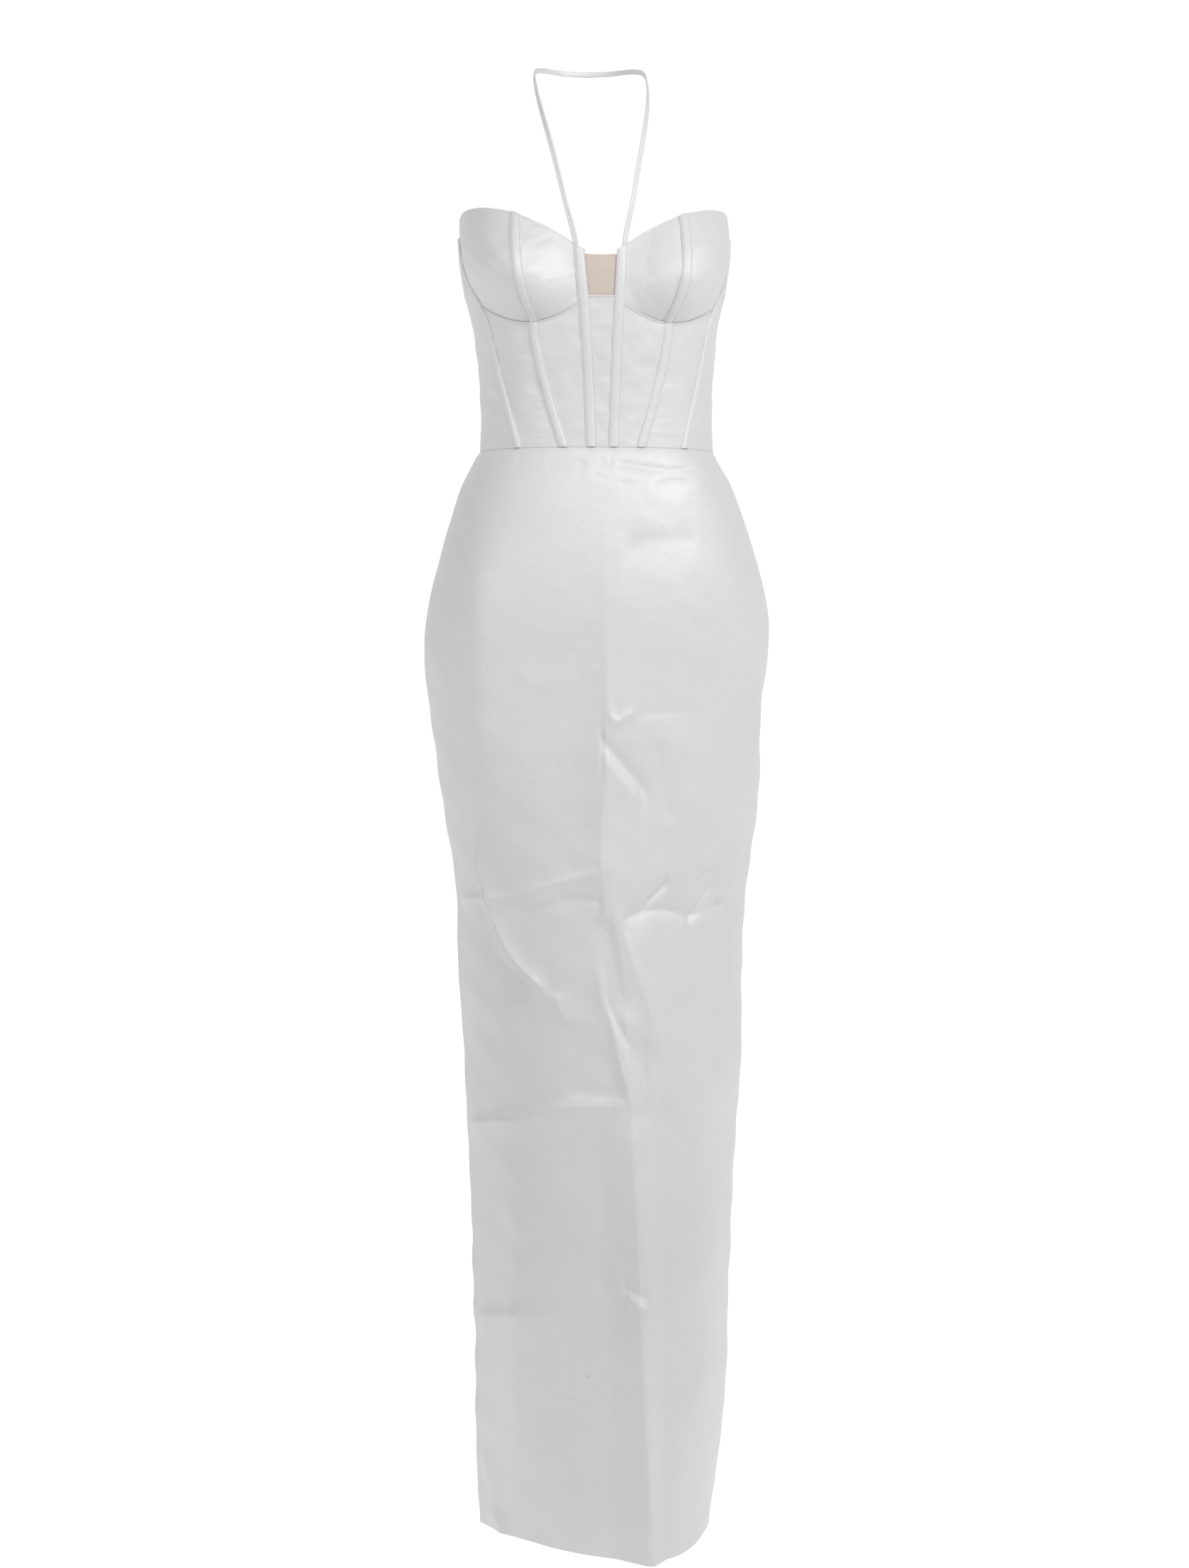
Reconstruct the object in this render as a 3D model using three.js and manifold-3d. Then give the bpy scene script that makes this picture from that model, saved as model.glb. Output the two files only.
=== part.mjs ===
// A floor-length halter dress in heavy satin, in the form it has when worn: a boned
// bodice with cups and a sheer inset, one narrow strap round the neck, and a
// straight skirt with pressed folds.
// Millimetres. The front faces -Y, +X is the wearer's left, +Z is up, and the origin
// is the middle of the neck strap's inner face, where it rests on the nape.
import * as THREE from "three";
import Module from "manifold-3d";

const wasm = await Module();
wasm.setup();

// Driving dimensions
const WAIST_Z = -405; // waist seam, below the nape
const HEM_Z = -1545; // hem, below the nape
const BODY_X = 8; // the waist's centre stands this far to the left of the nape
const BODY_Y = -61.8; // and this far in front of it
const SEAM_GAP = 0.3; // between two pieces that are sewn together
const LIFT = 0.5; // between a panel and what is sewn on it
const BODICE_CLOTH = 2.0; // satin, interlining and lining
const SKIRT_CLOTH = 1.6;
const SHEER_CLOTH = 1.0;
const SHEER_BOTTOM = -252.5; // top edge of the centre panel
const SHEER_TOP = -210;
const SHEER_DIP = 1.5; // the sheer's free edge sags this much
const SIDE_SEAM = 96; // degrees round the bodice from the centre front
const BACK_SEAM = 138;
const SQUARENESS = 2.2; // exponent of the body's rounded sections

// Boning channels: strips sewn over the seams
const CHANNEL = { width: 11, thick: 1.9, edge: 1.0, overWire: 2.4, underWire: 1.3, columns: 3 };

// The cups stand out from the chest above the wire line
const CUP = { depth: 31, crest: 0.42, atTop: 0.3, peak: 35, lean: 20, fade: 1.6, inner: 1.3, outer: 1.0 };

// Neck strap
const STRAP = { width: 5.5, thick: 2.2, steps: 48, neckY: 5 };

// Zip at the centre back
const ZIP = { length: 380, width: 24, tape: 0.9, topBelowEdge: 3, inside: 3.2, curve: 150, rows: 34 };
const SLIDER = { top: -202, height: 10, width: 7, plate: 1.1, legWidth: 1.1, reach: 4.2, bar: 1.1 };
const PULL = { eyeOuter: 1.8, eyeInner: 1.05, length: 17, thick: 1.1, sideGap: 0.35 };

// Slit at the centre back
const SLIT = { top: -1120, halfGap: 15 };

// Bodice sections: half width, depth to the front and to the back
const BODICE_SECTIONS = [
  { z: -150, half: 141, front: 93, back: 92 },
  { z: -190, half: 142, front: 99, back: 94 },
  { z: -235, half: 137.5, front: 102, back: 92 },
  { z: -280, half: 127.5, front: 98, back: 89 },
  { z: -331, half: 122.4, front: 91, back: 86 },
  { z: -374, half: 121.3, front: 88, back: 85 },
  { z: -405, half: 122.5, front: 88, back: 87 },
];

// Seams that run down the bodice, in degrees from the centre front
const SEAM_CENTRE = [
  { z: -200, angle: 9.1 },
  { z: -236, angle: 8.4 },
  { z: -262, angle: 7.8 },
  { z: -300, angle: 7.2 },
  { z: -355, angle: 6.2 },
  { z: -405, angle: 5.4 },
];
const SEAM_CUP = [
  { z: -166, angle: 37.6 },
  { z: -197, angle: 35.5 },
  { z: -225, angle: 32.8 },
  { z: -253, angle: 31.4 },
  { z: -279, angle: 32 },
];
const SEAM_MID = [
  { z: -279, angle: 32 },
  { z: -313, angle: 29.6 },
  { z: -360, angle: 24.8 },
  { z: -405, angle: 18.7 },
];
const SEAM_SIDE_FRONT = [
  { z: -184, angle: 80 },
  { z: -205, angle: 78.5 },
  { z: -225, angle: 74.5 },
  { z: -243, angle: 68.8 },
  { z: -258, angle: 64.7 },
  { z: -272, angle: 62.4 },
  { z: -295, angle: 60 },
  { z: -340, angle: 54 },
  { z: -405, angle: 42.6 },
];

// Edges that run round the bodice, as a height for each angle
const WIRE_LINE = [
  { angle: 7.8, z: -257 },
  { angle: 17, z: -268.8 },
  { angle: 23, z: -274.5 },
  { angle: 32, z: -278 },
  { angle: 41, z: -276.5 },
  { angle: 50, z: -270.5 },
  { angle: 57, z: -264.5 },
  { angle: 64, z: -257 },
];
const NECKLINE = [
  { angle: 5.5, z: -208 },
  { angle: 9.1, z: -203 },
  { angle: 12, z: -197.8 },
  { angle: 18.6, z: -186.7 },
  { angle: 26.2, z: -177.1 },
  { angle: 33.1, z: -169.9 },
  { angle: 42, z: -164 },
  { angle: 55, z: -160 },
  { angle: 72, z: -161 },
  { angle: 80, z: -166 },
];
const BACK_EDGE = [
  { angle: 78, z: -185 },
  { angle: 96, z: -193 },
  { angle: 138, z: -199 },
  { angle: 180, z: -199 },
];

// Skirt sections: reach to each side of the waist's centre, place and depth of the
// pressed front crease, and depth of the back
const SKIRT_SECTIONS = [
  { z: -405, right: 122.5, left: 122.5, crease: 0, front: 88, back: 87 },
  { z: -415, right: 129, left: 127, crease: 1, front: 92, back: 91 },
  { z: -444, right: 143, left: 143, crease: 2, front: 100, back: 100 },
  { z: -503, right: 162, left: 165, crease: 2.5, front: 107, back: 112 },
  { z: -563, right: 178, left: 181, crease: 3, front: 110, back: 119 },
  { z: -610, right: 182, left: 183.5, crease: 3, front: 111, back: 121 },
  { z: -682, right: 174.5, left: 175, crease: 3, front: 112, back: 120 },
  { z: -773, right: 163, left: 171, crease: 3, front: 114, back: 119 },
  { z: -863, right: 149.5, left: 161, crease: 5, front: 118, back: 121 },
  { z: -925, right: 148, left: 157, crease: 17, front: 122, back: 123 },
  { z: -1040, right: 140.5, left: 154.5, crease: 23, front: 129, back: 127 },
  { z: -1167, right: 136, left: 147, crease: 30, front: 138, back: 132 },
  { z: -1292, right: 131, left: 143, crease: 35, front: 146, back: 137 },
  { z: -1442, right: 129, left: 135, crease: 41, front: 154, back: 142 },
  { z: -1545, right: 125.5, left: 121.5, crease: 47, front: 159, back: 146 },
];

// How far each face of the skirt flattens towards straight lines, 0 to 1
const SKIRT_FLATTENING = [
  { z: -405, frontRight: 0, frontLeft: 0, back: 0 },
  { z: -415, frontRight: 0, frontLeft: 0, back: 0 },
  { z: -444, frontRight: 0.02, frontLeft: 0.02, back: 0 },
  { z: -503, frontRight: 0.04, frontLeft: 0.04, back: 0 },
  { z: -563, frontRight: 0.06, frontLeft: 0.06, back: 0 },
  { z: -610, frontRight: 0.08, frontLeft: 0.08, back: 0.02 },
  { z: -682, frontRight: 0.12, frontLeft: 0.12, back: 0.03 },
  { z: -773, frontRight: 0.16, frontLeft: 0.16, back: 0.04 },
  { z: -863, frontRight: 0.22, frontLeft: 0.2, back: 0.06 },
  { z: -925, frontRight: 0.3, frontLeft: 0.26, back: 0.08 },
  { z: -1040, frontRight: 0.38, frontLeft: 0.34, back: 0.1 },
  { z: -1167, frontRight: 0.46, frontLeft: 0.4, back: 0.12 },
  { z: -1292, frontRight: 0.54, frontLeft: 0.44, back: 0.14 },
  { z: -1442, frontRight: 0.6, frontLeft: 0.5, back: 0.16 },
  { z: -1545, frontRight: 0.64, frontLeft: 0.53, back: 0.16 },
];

// Where the side seams run: 1 is the skirt's extreme side, less is nearer the front
const SKIRT_SIDE_SEAM = [
  { z: -405, right: 0.98, left: 0.96 },
  { z: -480, right: 0.95, left: 0.87 },
  { z: -620, right: 0.92, left: 0.88 },
  { z: -820, right: 0.93, left: 0.84 },
  { z: -900, right: 0.97, left: 0.96 },
  { z: -1545, right: 0.97, left: 0.96 },
];

// Rows of the skirt's mesh, closer together at the hips and where it is creased most
const SKIRT_BANDS = [
  { top: -405, bottom: -480, rows: 7 },
  { top: -480, bottom: -660, rows: 6 },
  { top: -660, bottom: -820, rows: 5 },
  { top: -820, bottom: -970, rows: 11 },
  { top: -970, bottom: -1545, rows: 14 },
];
const FRONT_COLUMNS = 30; // closer together towards the front crease
const FRONT_SPREAD = 1.35;
const BACK_COLUMNS = 10;

// Folds of the skirt, as seen from the front or the back: each runs from one point to
// another with a sideways bow, and stands out by rise, or sinks in where rise is less than 0
const SKIRT_FOLDS = [
  { face: "front", x1: 2, z1: -440, x2: 4, z2: -880, bow: 0, width: 7, rise: 2.2 },
  { face: "front", x1: 5, z1: -850, x2: 24, z2: -1060, bow: -2, width: 8, rise: 3 },
  { face: "front", x1: 26, z1: -1030, x2: 47, z2: -1580, bow: 0, width: 9, rise: 3.5 },
  { face: "front", x1: 58, z1: -930, x2: 72, z2: -1580, bow: -3, width: 13, rise: -6 },
  { face: "front", x1: -4, z1: -1000, x2: 14, z2: -1590, bow: 0, width: 22, rise: -5 },
  { face: "front", x1: -129, z1: -820, x2: -72, z2: -965, bow: -7, width: 7, rise: 4.5 },
  { face: "front", x1: -112, z1: -850, x2: -52, z2: -985, bow: -6, width: 13, rise: -3.5 },
  { face: "front", x1: -14, z1: -915, x2: 40, z2: -1055, bow: -8, width: 7, rise: 5 },
  { face: "front", x1: -22, z1: -955, x2: 28, z2: -1085, bow: -6, width: 12, rise: -4 },
  { face: "front", x1: 3, z1: -690, x2: 54, z2: -790, bow: 3, width: 6.5, rise: 3.5 },
  { face: "front", x1: 18, z1: -680, x2: 66, z2: -765, bow: 3, width: 11, rise: -2.5 },
  { face: "front", x1: -135, z1: -870, x2: 8, z2: -842, bow: 6, width: 7, rise: 2 },
  { face: "front", x1: 12, z1: -893, x2: 150, z2: -868, bow: 4, width: 7, rise: 2.5 },
  { face: "front", x1: -130, z1: -1095, x2: 34, z2: -1080, bow: 4, width: 7, rise: 2 },
  { face: "front", x1: -128, z1: -1290, x2: 34, z2: -1284, bow: 2, width: 7, rise: 1.6 },
  { face: "front", x1: 14, z1: -668, x2: 150, z2: -664, bow: 2, width: 7, rise: 1.6 },
  { face: "back", x1: 0, z1: -640, x2: 0, z2: -1600, bow: 0, width: 26, rise: -4 },
  { face: "back", x1: -70, z1: -760, x2: -62, z2: -1600, bow: 6, width: 24, rise: 5 },
  { face: "back", x1: 72, z1: -720, x2: 66, z2: -1600, bow: -5, width: 24, rise: 5 },
  { face: "back", x1: -120, z1: -880, x2: -30, z2: -905, bow: 5, width: 9, rise: -2.5 },
  { face: "back", x1: 24, z1: -900, x2: 124, z2: -862, bow: 5, width: 9, rise: -2.5 },
];
const FOLD_END = 0.22; // share of a fold's length over which it fades at each end

// Path of the neck strap on the wearer's left, from inside the bodice to the nape,
// measured from the body's centre
const STRAP_PATH = [
  { x: 24.2, y: -96.6, z: -217 },
  { x: 24.8, y: -95.8, z: -205 },
  { x: 25.6, y: -95, z: -195 },
  { x: 34.6, y: -91, z: -156 },
  { x: 41.7, y: -84, z: -121 },
  { x: 49.3, y: -72, z: -85 },
  { x: 54.8, y: -54, z: -57 },
  { x: 58, y: -30, z: -31 },
  { x: 57, y: 0, z: -11 },
  { x: 47, y: 33, z: -2 },
  { x: 26, y: 56, z: 0 },
  { x: 0, y: 62.9, z: 0 },
];

// Finishes
const SATIN = { color: 0xf1f0ee, roughness: 0.38, metalness: 0 };
const NUDE_MESH = { color: 0xd9c9be, roughness: 0.8, metalness: 0 };
const ZIP_CLOTH = { color: 0xeeedea, roughness: 0.85, metalness: 0 };
const ZIP_METAL = { color: 0xe6e4e0, roughness: 0.35, metalness: 0.6 };

const radians = THREE.MathUtils.degToRad;
const clamp = THREE.MathUtils.clamp;
const lerp = THREE.MathUtils.lerp;
const smoothstep = THREE.MathUtils.smoothstep;

// Reads a table at one value of its key column, on a smooth curve through its rows
function readTable(rows, key, at, column) {
  const up = rows[1][key] > rows[0][key];
  const first = rows[0];
  const last = rows[rows.length - 1];
  if (up ? at <= first[key] : at >= first[key]) return first[column];
  if (up ? at >= last[key] : at <= last[key]) return last[column];
  let i = 0;
  while (up ? rows[i + 1][key] < at : rows[i + 1][key] > at) i += 1;
  const before = rows[Math.max(i - 1, 0)];
  const a = rows[i];
  const b = rows[i + 1];
  const after = rows[Math.min(i + 2, rows.length - 1)];
  const span = b[key] - a[key];
  const t = (at - a[key]) / span;
  const slopeA = ((b[column] - before[column]) / (b[key] - before[key])) * span;
  const slopeB = ((after[column] - a[column]) / (after[key] - a[key])) * span;
  const t2 = t * t;
  const t3 = t2 * t;
  return (
    (2 * t3 - 3 * t2 + 1) * a[column] +
    (t3 - 2 * t2 + t) * slopeA +
    (3 * t2 - 2 * t3) * b[column] +
    (t3 - t2) * slopeB
  );
}

const seamAngle = (rows) => (z) => readTable(rows, "z", z, "angle");
const edgeHeight = (rows) => (angle) => readTable(rows, "angle", angle, "z");
const centreSeam = seamAngle(SEAM_CENTRE);
const cupSeam = seamAngle(SEAM_CUP);
const midSeam = seamAngle(SEAM_MID);
const sideFrontSeam = seamAngle(SEAM_SIDE_FRONT);
const wireLine = edgeHeight(WIRE_LINE);
const neckline = edgeHeight(NECKLINE);
const backEdge = edgeHeight(BACK_EDGE);

// The body leans a little, so its centre moves from BODY_X at the waist to 0 at the nape
function centreX(z) {
  const t = clamp((z - WAIST_Z) / -WAIST_Z, 0, 1);
  return BODY_X * (1 - t ** 1.4);
}

// Scale that turns a circle's point into one of a rounded, slightly square section
function squared(sin, cos) {
  return (Math.abs(sin) ** SQUARENESS + Math.abs(cos) ** SQUARENESS) ** (-1 / SQUARENESS);
}

// The body's own surface at an angle, in degrees from the centre front, and a height
function torsoPoint(angle, z) {
  const sin = Math.sin(radians(angle));
  const cos = Math.cos(radians(angle));
  const k = squared(sin, cos);
  const depth = readTable(BODICE_SECTIONS, "z", z, cos >= 0 ? "front" : "back");
  const half = readTable(BODICE_SECTIONS, "z", z, "half");
  return new THREE.Vector3(centreX(z) + half * sin * k, BODY_Y - depth * cos * k, z);
}

// The angle that a length takes up round the bodice at a height
function degreesAcross(mm, z) {
  return THREE.MathUtils.radToDeg(mm / readTable(BODICE_SECTIONS, "z", z, "half"));
}

// The body's surface with the cup's fullness, which is 0 along the wire line and at the
// cup's sides
function cupPoint(angle, z) {
  const point = torsoPoint(angle, z);
  const a = Math.abs(angle);
  const from = centreSeam(z) + degreesAcross(CHANNEL.width / 2 + 0.5, z);
  const to = Math.max(sideFrontSeam(z), CUP.peak + 10);
  if (a <= from || a >= to) return point;
  const height = Math.min((z - wireLine(a)) / (neckline(a) - wireLine(a)), 1.1);
  const rise =
    height < CUP.crest
      ? 1 - (1 - height / CUP.crest) ** 2
      : 1 - (1 - CUP.atTop) * ((height - CUP.crest) / (1 - CUP.crest)) ** CUP.fade;
  const across =
    a < CUP.peak
      ? Math.sin(((a - from) / (CUP.peak - from)) * (Math.PI / 2)) ** CUP.inner
      : Math.sin(((to - a) / (to - CUP.peak)) * (Math.PI / 2)) ** CUP.outer;
  const out = CUP.depth * rise * across;
  const lean = radians(CUP.lean) * Math.sign(angle);
  return point.add(new THREE.Vector3(out * Math.sin(lean), -out * Math.cos(lean), 0));
}

// Outward normal of a surface given as point(a, b), where a runs towards +X at the
// front and b runs upwards
function normalOf(surface, a, b, stepA, stepB) {
  const alongA = surface(a + stepA, b).sub(surface(a - stepA, b));
  const alongB = surface(a, b + stepB).sub(surface(a, b - stepB));
  return alongA.cross(alongB).normalize();
}

// The bodice along the side front seam: body below the wire line, cup above it
function frontPoint(angle, z) {
  return z < wireLine(Math.abs(angle)) ? torsoPoint(angle, z) : cupPoint(angle, z);
}

// Points a distance out from a surface
const lifted = (surface, stepA, stepB) => (a, b, out) =>
  surface(a, b).addScaledVector(normalOf(surface, a, b, stepA, stepB), out);
const onTorso = lifted(torsoPoint, 0.5, 0.8);
const onCup = lifted(cupPoint, 0.5, 0.8);
const onFront = lifted(frontPoint, 0.5, 0.8);

// A closed wall between two grids of points, with a rim round its four edges
function wallGeometry(outer, inner) {
  const rows = outer.length;
  const columns = outer[0].length;
  const positions = [outer, inner].flat(2).flatMap((p) => [p.x, p.y, p.z]);
  const at = (layer, i, j) => (layer * rows + i) * columns + j;
  const index = [];
  const quad = (a, b, c, d) => index.push(a, b, c, a, c, d);
  for (let i = 0; i + 1 < rows; i += 1) {
    for (let j = 0; j + 1 < columns; j += 1) {
      quad(at(0, i, j), at(0, i, j + 1), at(0, i + 1, j + 1), at(0, i + 1, j));
      quad(at(1, i, j), at(1, i + 1, j), at(1, i + 1, j + 1), at(1, i, j + 1));
    }
  }
  for (let j = 0; j + 1 < columns; j += 1) {
    quad(at(1, 0, j), at(1, 0, j + 1), at(0, 0, j + 1), at(0, 0, j));
    quad(at(0, rows - 1, j), at(0, rows - 1, j + 1), at(1, rows - 1, j + 1), at(1, rows - 1, j));
  }
  for (let i = 0; i + 1 < rows; i += 1) {
    quad(at(0, i, 0), at(0, i + 1, 0), at(1, i + 1, 0), at(1, i, 0));
    const last = columns - 1;
    quad(at(1, i, last), at(1, i + 1, last), at(0, i + 1, last), at(0, i, last));
  }
  return closedGeometry(positions, index);
}

function closedGeometry(positions, index) {
  const geometry = new THREE.BufferGeometry();
  geometry.setAttribute("position", new THREE.Float32BufferAttribute(positions, 3));
  geometry.setIndex(index);
  if (signedVolume(geometry) < 0) {
    geometry.setIndex(index.map((_, k) => index[k - (k % 3) + [0, 2, 1][k % 3]]));
  }
  geometry.computeVertexNormals();
  return geometry;
}

function signedVolume(geometry) {
  const { position } = geometry.attributes;
  const { index } = geometry;
  const corner = (k) => new THREE.Vector3().fromBufferAttribute(position, index.getX(k));
  let sum = 0;
  for (let k = 0; k < index.count; k += 3) {
    sum += corner(k).dot(corner(k + 1).cross(corner(k + 2)));
  }
  return sum / 6;
}

const dress = new THREE.Group();

function addMesh(name, geometry, finish) {
  const mesh = new THREE.Mesh(geometry, new THREE.MeshStandardMaterial(finish));
  mesh.name = name;
  dress.add(mesh);
  return mesh;
}

// A grid of [angle, z] between two seams, each an angle for a height, and two edges,
// each a height for an angle. The rows and columns stand at the given shares of the way
function patchGrid({ from, to, bottom, top, rows, columns }) {
  return rows.map((up) =>
    columns.map((across) => {
      let angle = lerp(from(WAIST_Z), to(WAIST_Z), across);
      let z = lerp(bottom(angle), top(angle), up);
      for (let pass = 0; pass < 12; pass += 1) {
        angle = lerp(from(z), to(z), across);
        z = lerp(bottom(angle), top(angle), up);
      }
      return [angle, z];
    }),
  );
}

const evenly = (count) => Array.from({ length: count + 1 }, (_, j) => j / count);

// A panel of the bodice: its seams and edges are drawn in by half the seam gap
function addPanel(name, side, surface, thickness, finish, outline) {
  const inset = SEAM_GAP / 2;
  const grid = patchGrid({
    ...outline,
    from: (z) => outline.from(z) + degreesAcross(inset, z),
    to: (z) => outline.to(z) - degreesAcross(inset, z),
    bottom: (angle) => outline.bottom(angle) + inset,
    top: (angle) => outline.top(angle) - inset,
  });
  const layer = (out) => grid.map((line) => line.map(([angle, z]) => surface(side * angle, z, out)));
  return addMesh(name, wallGeometry(layer(0), layer(-thickness)), finish);
}

// A boning channel: a domed strip over a seam, from one height to another
function addChannel(name, side, surface, seam, bottom, top, rows) {
  const strip = (height) => {
    const grid = [];
    for (let i = 0; i <= rows; i += 1) {
      const line = [];
      for (let j = 0; j <= CHANNEL.columns; j += 1) {
        const across = (j / CHANNEL.columns) * 2 - 1;
        const start = lerp(bottom(0), top(0), i / rows);
        const angle = seam(start) + degreesAcross((across * CHANNEL.width) / 2, start);
        const z = lerp(bottom(angle), top(angle), i / rows);
        line.push(surface(side * angle, z, height(across)));
      }
      grid.push(line);
    }
    return grid;
  };
  const dome = (across) => LIFT + lerp(CHANNEL.edge, CHANNEL.thick, 1 - across ** 2);
  return addMesh(name, wallGeometry(strip(dome), strip(() => LIFT)), SATIN);
}

const level = (z) => () => z;
const sides = [
  { tag: "L", sign: 1 },
  { tag: "R", sign: -1 },
];

// Front of the bodice between the two centre channels, and the sheer inset above it
function addCentreFront() {
  const across = { from: (z) => -centreSeam(z), to: centreSeam, columns: evenly(4) };
  addPanel("centre_front", 1, onTorso, BODICE_CLOTH, SATIN, {
    ...across,
    bottom: level(WAIST_Z),
    top: level(SHEER_BOTTOM),
    rows: evenly(7),
  });
  addPanel("sheer_inset", 1, onTorso, SHEER_CLOTH, NUDE_MESH, {
    ...across,
    bottom: level(SHEER_BOTTOM),
    top: (angle) => SHEER_TOP - SHEER_DIP * Math.cos(radians(angle) * 10),
    rows: evenly(3),
  });
}

function addBodiceSide({ tag, sign }) {
  addPanel("cup_inner_" + tag, sign, onCup, BODICE_CLOTH, SATIN, {
    from: centreSeam,
    to: cupSeam,
    bottom: wireLine,
    top: neckline,
    rows: evenly(10),
    columns: [0, 0.11, 0.24, 0.42, 0.6, 0.8, 1],
  });
  addPanel("cup_outer_" + tag, sign, onCup, BODICE_CLOTH, SATIN, {
    from: cupSeam,
    to: sideFrontSeam,
    bottom: wireLine,
    top: neckline,
    rows: evenly(10),
    columns: evenly(8),
  });
  addPanel("front_panel_" + tag, sign, onTorso, BODICE_CLOTH, SATIN, {
    from: centreSeam,
    to: midSeam,
    bottom: level(WAIST_Z),
    top: wireLine,
    rows: evenly(8),
    columns: evenly(4),
  });
  addPanel("front_side_" + tag, sign, onTorso, BODICE_CLOTH, SATIN, {
    from: midSeam,
    to: sideFrontSeam,
    bottom: level(WAIST_Z),
    top: wireLine,
    rows: [0, 0.15, 0.3, 0.45, 0.59, 0.7, 0.79, 0.87, 0.935, 1],
    columns: evenly(4),
  });
  addPanel("side_panel_" + tag, sign, onTorso, BODICE_CLOTH, SATIN, {
    from: sideFrontSeam,
    to: level(SIDE_SEAM),
    bottom: level(WAIST_Z),
    top: backEdge,
    rows: [0, 0.14, 0.28, 0.4, 0.5, 0.57, 0.62, 0.66, 0.7, 0.75, 0.81, 0.86, 0.91, 0.955, 1],
    columns: evenly(5),
  });
  addPanel("side_back_" + tag, sign, onTorso, BODICE_CLOTH, SATIN, {
    from: level(SIDE_SEAM),
    to: level(BACK_SEAM),
    bottom: level(WAIST_Z),
    top: backEdge,
    rows: evenly(8),
    columns: evenly(5),
  });
  addPanel("centre_back_" + tag, sign, onTorso, BODICE_CLOTH, SATIN, {
    from: level(BACK_SEAM),
    to: level(180),
    bottom: level(WAIST_Z),
    top: backEdge,
    rows: evenly(8),
    columns: evenly(5),
  });
}

function addChannels({ tag, sign }) {
  const waist = level(WAIST_Z + SEAM_GAP);
  const underWire = (angle) => wireLine(angle) - CHANNEL.underWire;
  const overWire = (angle) => wireLine(angle) + CHANNEL.overWire;
  const underNeckline = (angle) => neckline(angle) - SEAM_GAP;
  const underBackEdge = (angle) => backEdge(angle) - SEAM_GAP;
  addChannel("channel_centre_" + tag, sign, onTorso, centreSeam, waist, neckline, 14);
  addChannel("channel_cup_" + tag, sign, onCup, cupSeam, overWire, underNeckline, 11);
  addChannel("channel_mid_" + tag, sign, onTorso, midSeam, waist, underWire, 8);
  addChannel("channel_side_" + tag, sign, onFront, sideFrontSeam, waist, underBackEdge, 18);
}

// A closed tube with a flattened section, along points that each have their own frame
function addStrap() {
  const half = STRAP_PATH.map(({ x, y, z }) => [x, y, z]);
  const mirrored = half.slice(0, -1).map(([x, y, z]) => [-x, y, z]);
  const points = [...half, ...mirrored.reverse()].map(
    ([x, y, z]) => new THREE.Vector3(centreX(z) + x, BODY_Y + y, z),
  );
  const curve = new THREE.CatmullRomCurve3(points, false, "centripetal");
  const rings = [];
  for (let i = 0; i <= STRAP.steps; i += 1) {
    const at = curve.getPointAt(i / STRAP.steps);
    const along = curve.getTangentAt(i / STRAP.steps);
    const out = new THREE.Vector3(at.x - centreX(at.z), at.y - BODY_Y - STRAP.neckY, 0).normalize();
    out.addScaledVector(along, -out.dot(along)).normalize();
    const across = new THREE.Vector3().crossVectors(along, out);
    const flat = STRAP.width / 2;
    const corner = STRAP.thick / 2;
    const section = [
      [flat, 0],
      [flat - corner * 0.5, corner * 0.87],
      [0, corner],
      [corner * 0.5 - flat, corner * 0.87],
      [-flat, 0],
      [corner * 0.5 - flat, -corner * 0.87],
      [0, -corner],
      [flat - corner * 0.5, -corner * 0.87],
    ];
    const place = ([w, h]) => at.clone().addScaledVector(across, w).addScaledVector(out, h);
    rings.push(section.map(place));
  }
  addMesh("halter_strap", tubeGeometry(rings), SATIN);
}

function tubeGeometry(rings) {
  const sidesOf = rings[0].length;
  const positions = rings.flat().flatMap((p) => [p.x, p.y, p.z]);
  const index = [];
  for (let i = 0; i + 1 < rings.length; i += 1) {
    for (let j = 0; j < sidesOf; j += 1) {
      const next = (j + 1) % sidesOf;
      const [a, b] = [i * sidesOf + j, i * sidesOf + next];
      index.push(a, b, b + sidesOf, a, b + sidesOf, a + sidesOf);
    }
  }
  const last = (rings.length - 1) * sidesOf;
  for (let j = 1; j + 1 < sidesOf; j += 1) {
    index.push(0, j + 1, j, last, last + j, last + j + 1);
  }
  return closedGeometry(positions, index);
}

// The skirt's plan at a height. The turn runs from -2 to 2: 0 is the front crease, 1 the
// wearer's left, -1 the right, and 2 and -2 the centre back
function skirtRing(anyTurn, z) {
  const turn = Math.abs(anyTurn) > 2 ? anyTurn - 4 * Math.sign(anyTurn) : anyTurn;
  const row = (column) => readTable(SKIRT_SECTIONS, "z", z, column);
  const toLeft = turn >= 0;
  const atFront = Math.abs(turn) <= 1;
  const s = atFront ? Math.abs(turn) : 2 - Math.abs(turn);
  const reach = toLeft ? row("left") : -row("right");
  const poleX = atFront ? row("crease") : 0;
  const poleY = atFront ? -row("front") : row("back");
  const frontFace = toLeft ? "frontLeft" : "frontRight";
  const flat = readTable(SKIRT_FLATTENING, "z", z, atFront ? frontFace : "back");
  const sin = Math.sin((s * Math.PI) / 2);
  const cos = Math.cos((s * Math.PI) / 2);
  const k = squared(sin, cos);
  const x = lerp(poleX + (reach - poleX) * sin * k, lerp(poleX, reach, s), flat);
  const y = lerp(poleY * cos * k, poleY * (1 - s), flat);
  return new THREE.Vector3(BODY_X + x, BODY_Y + y, z);
}

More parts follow.
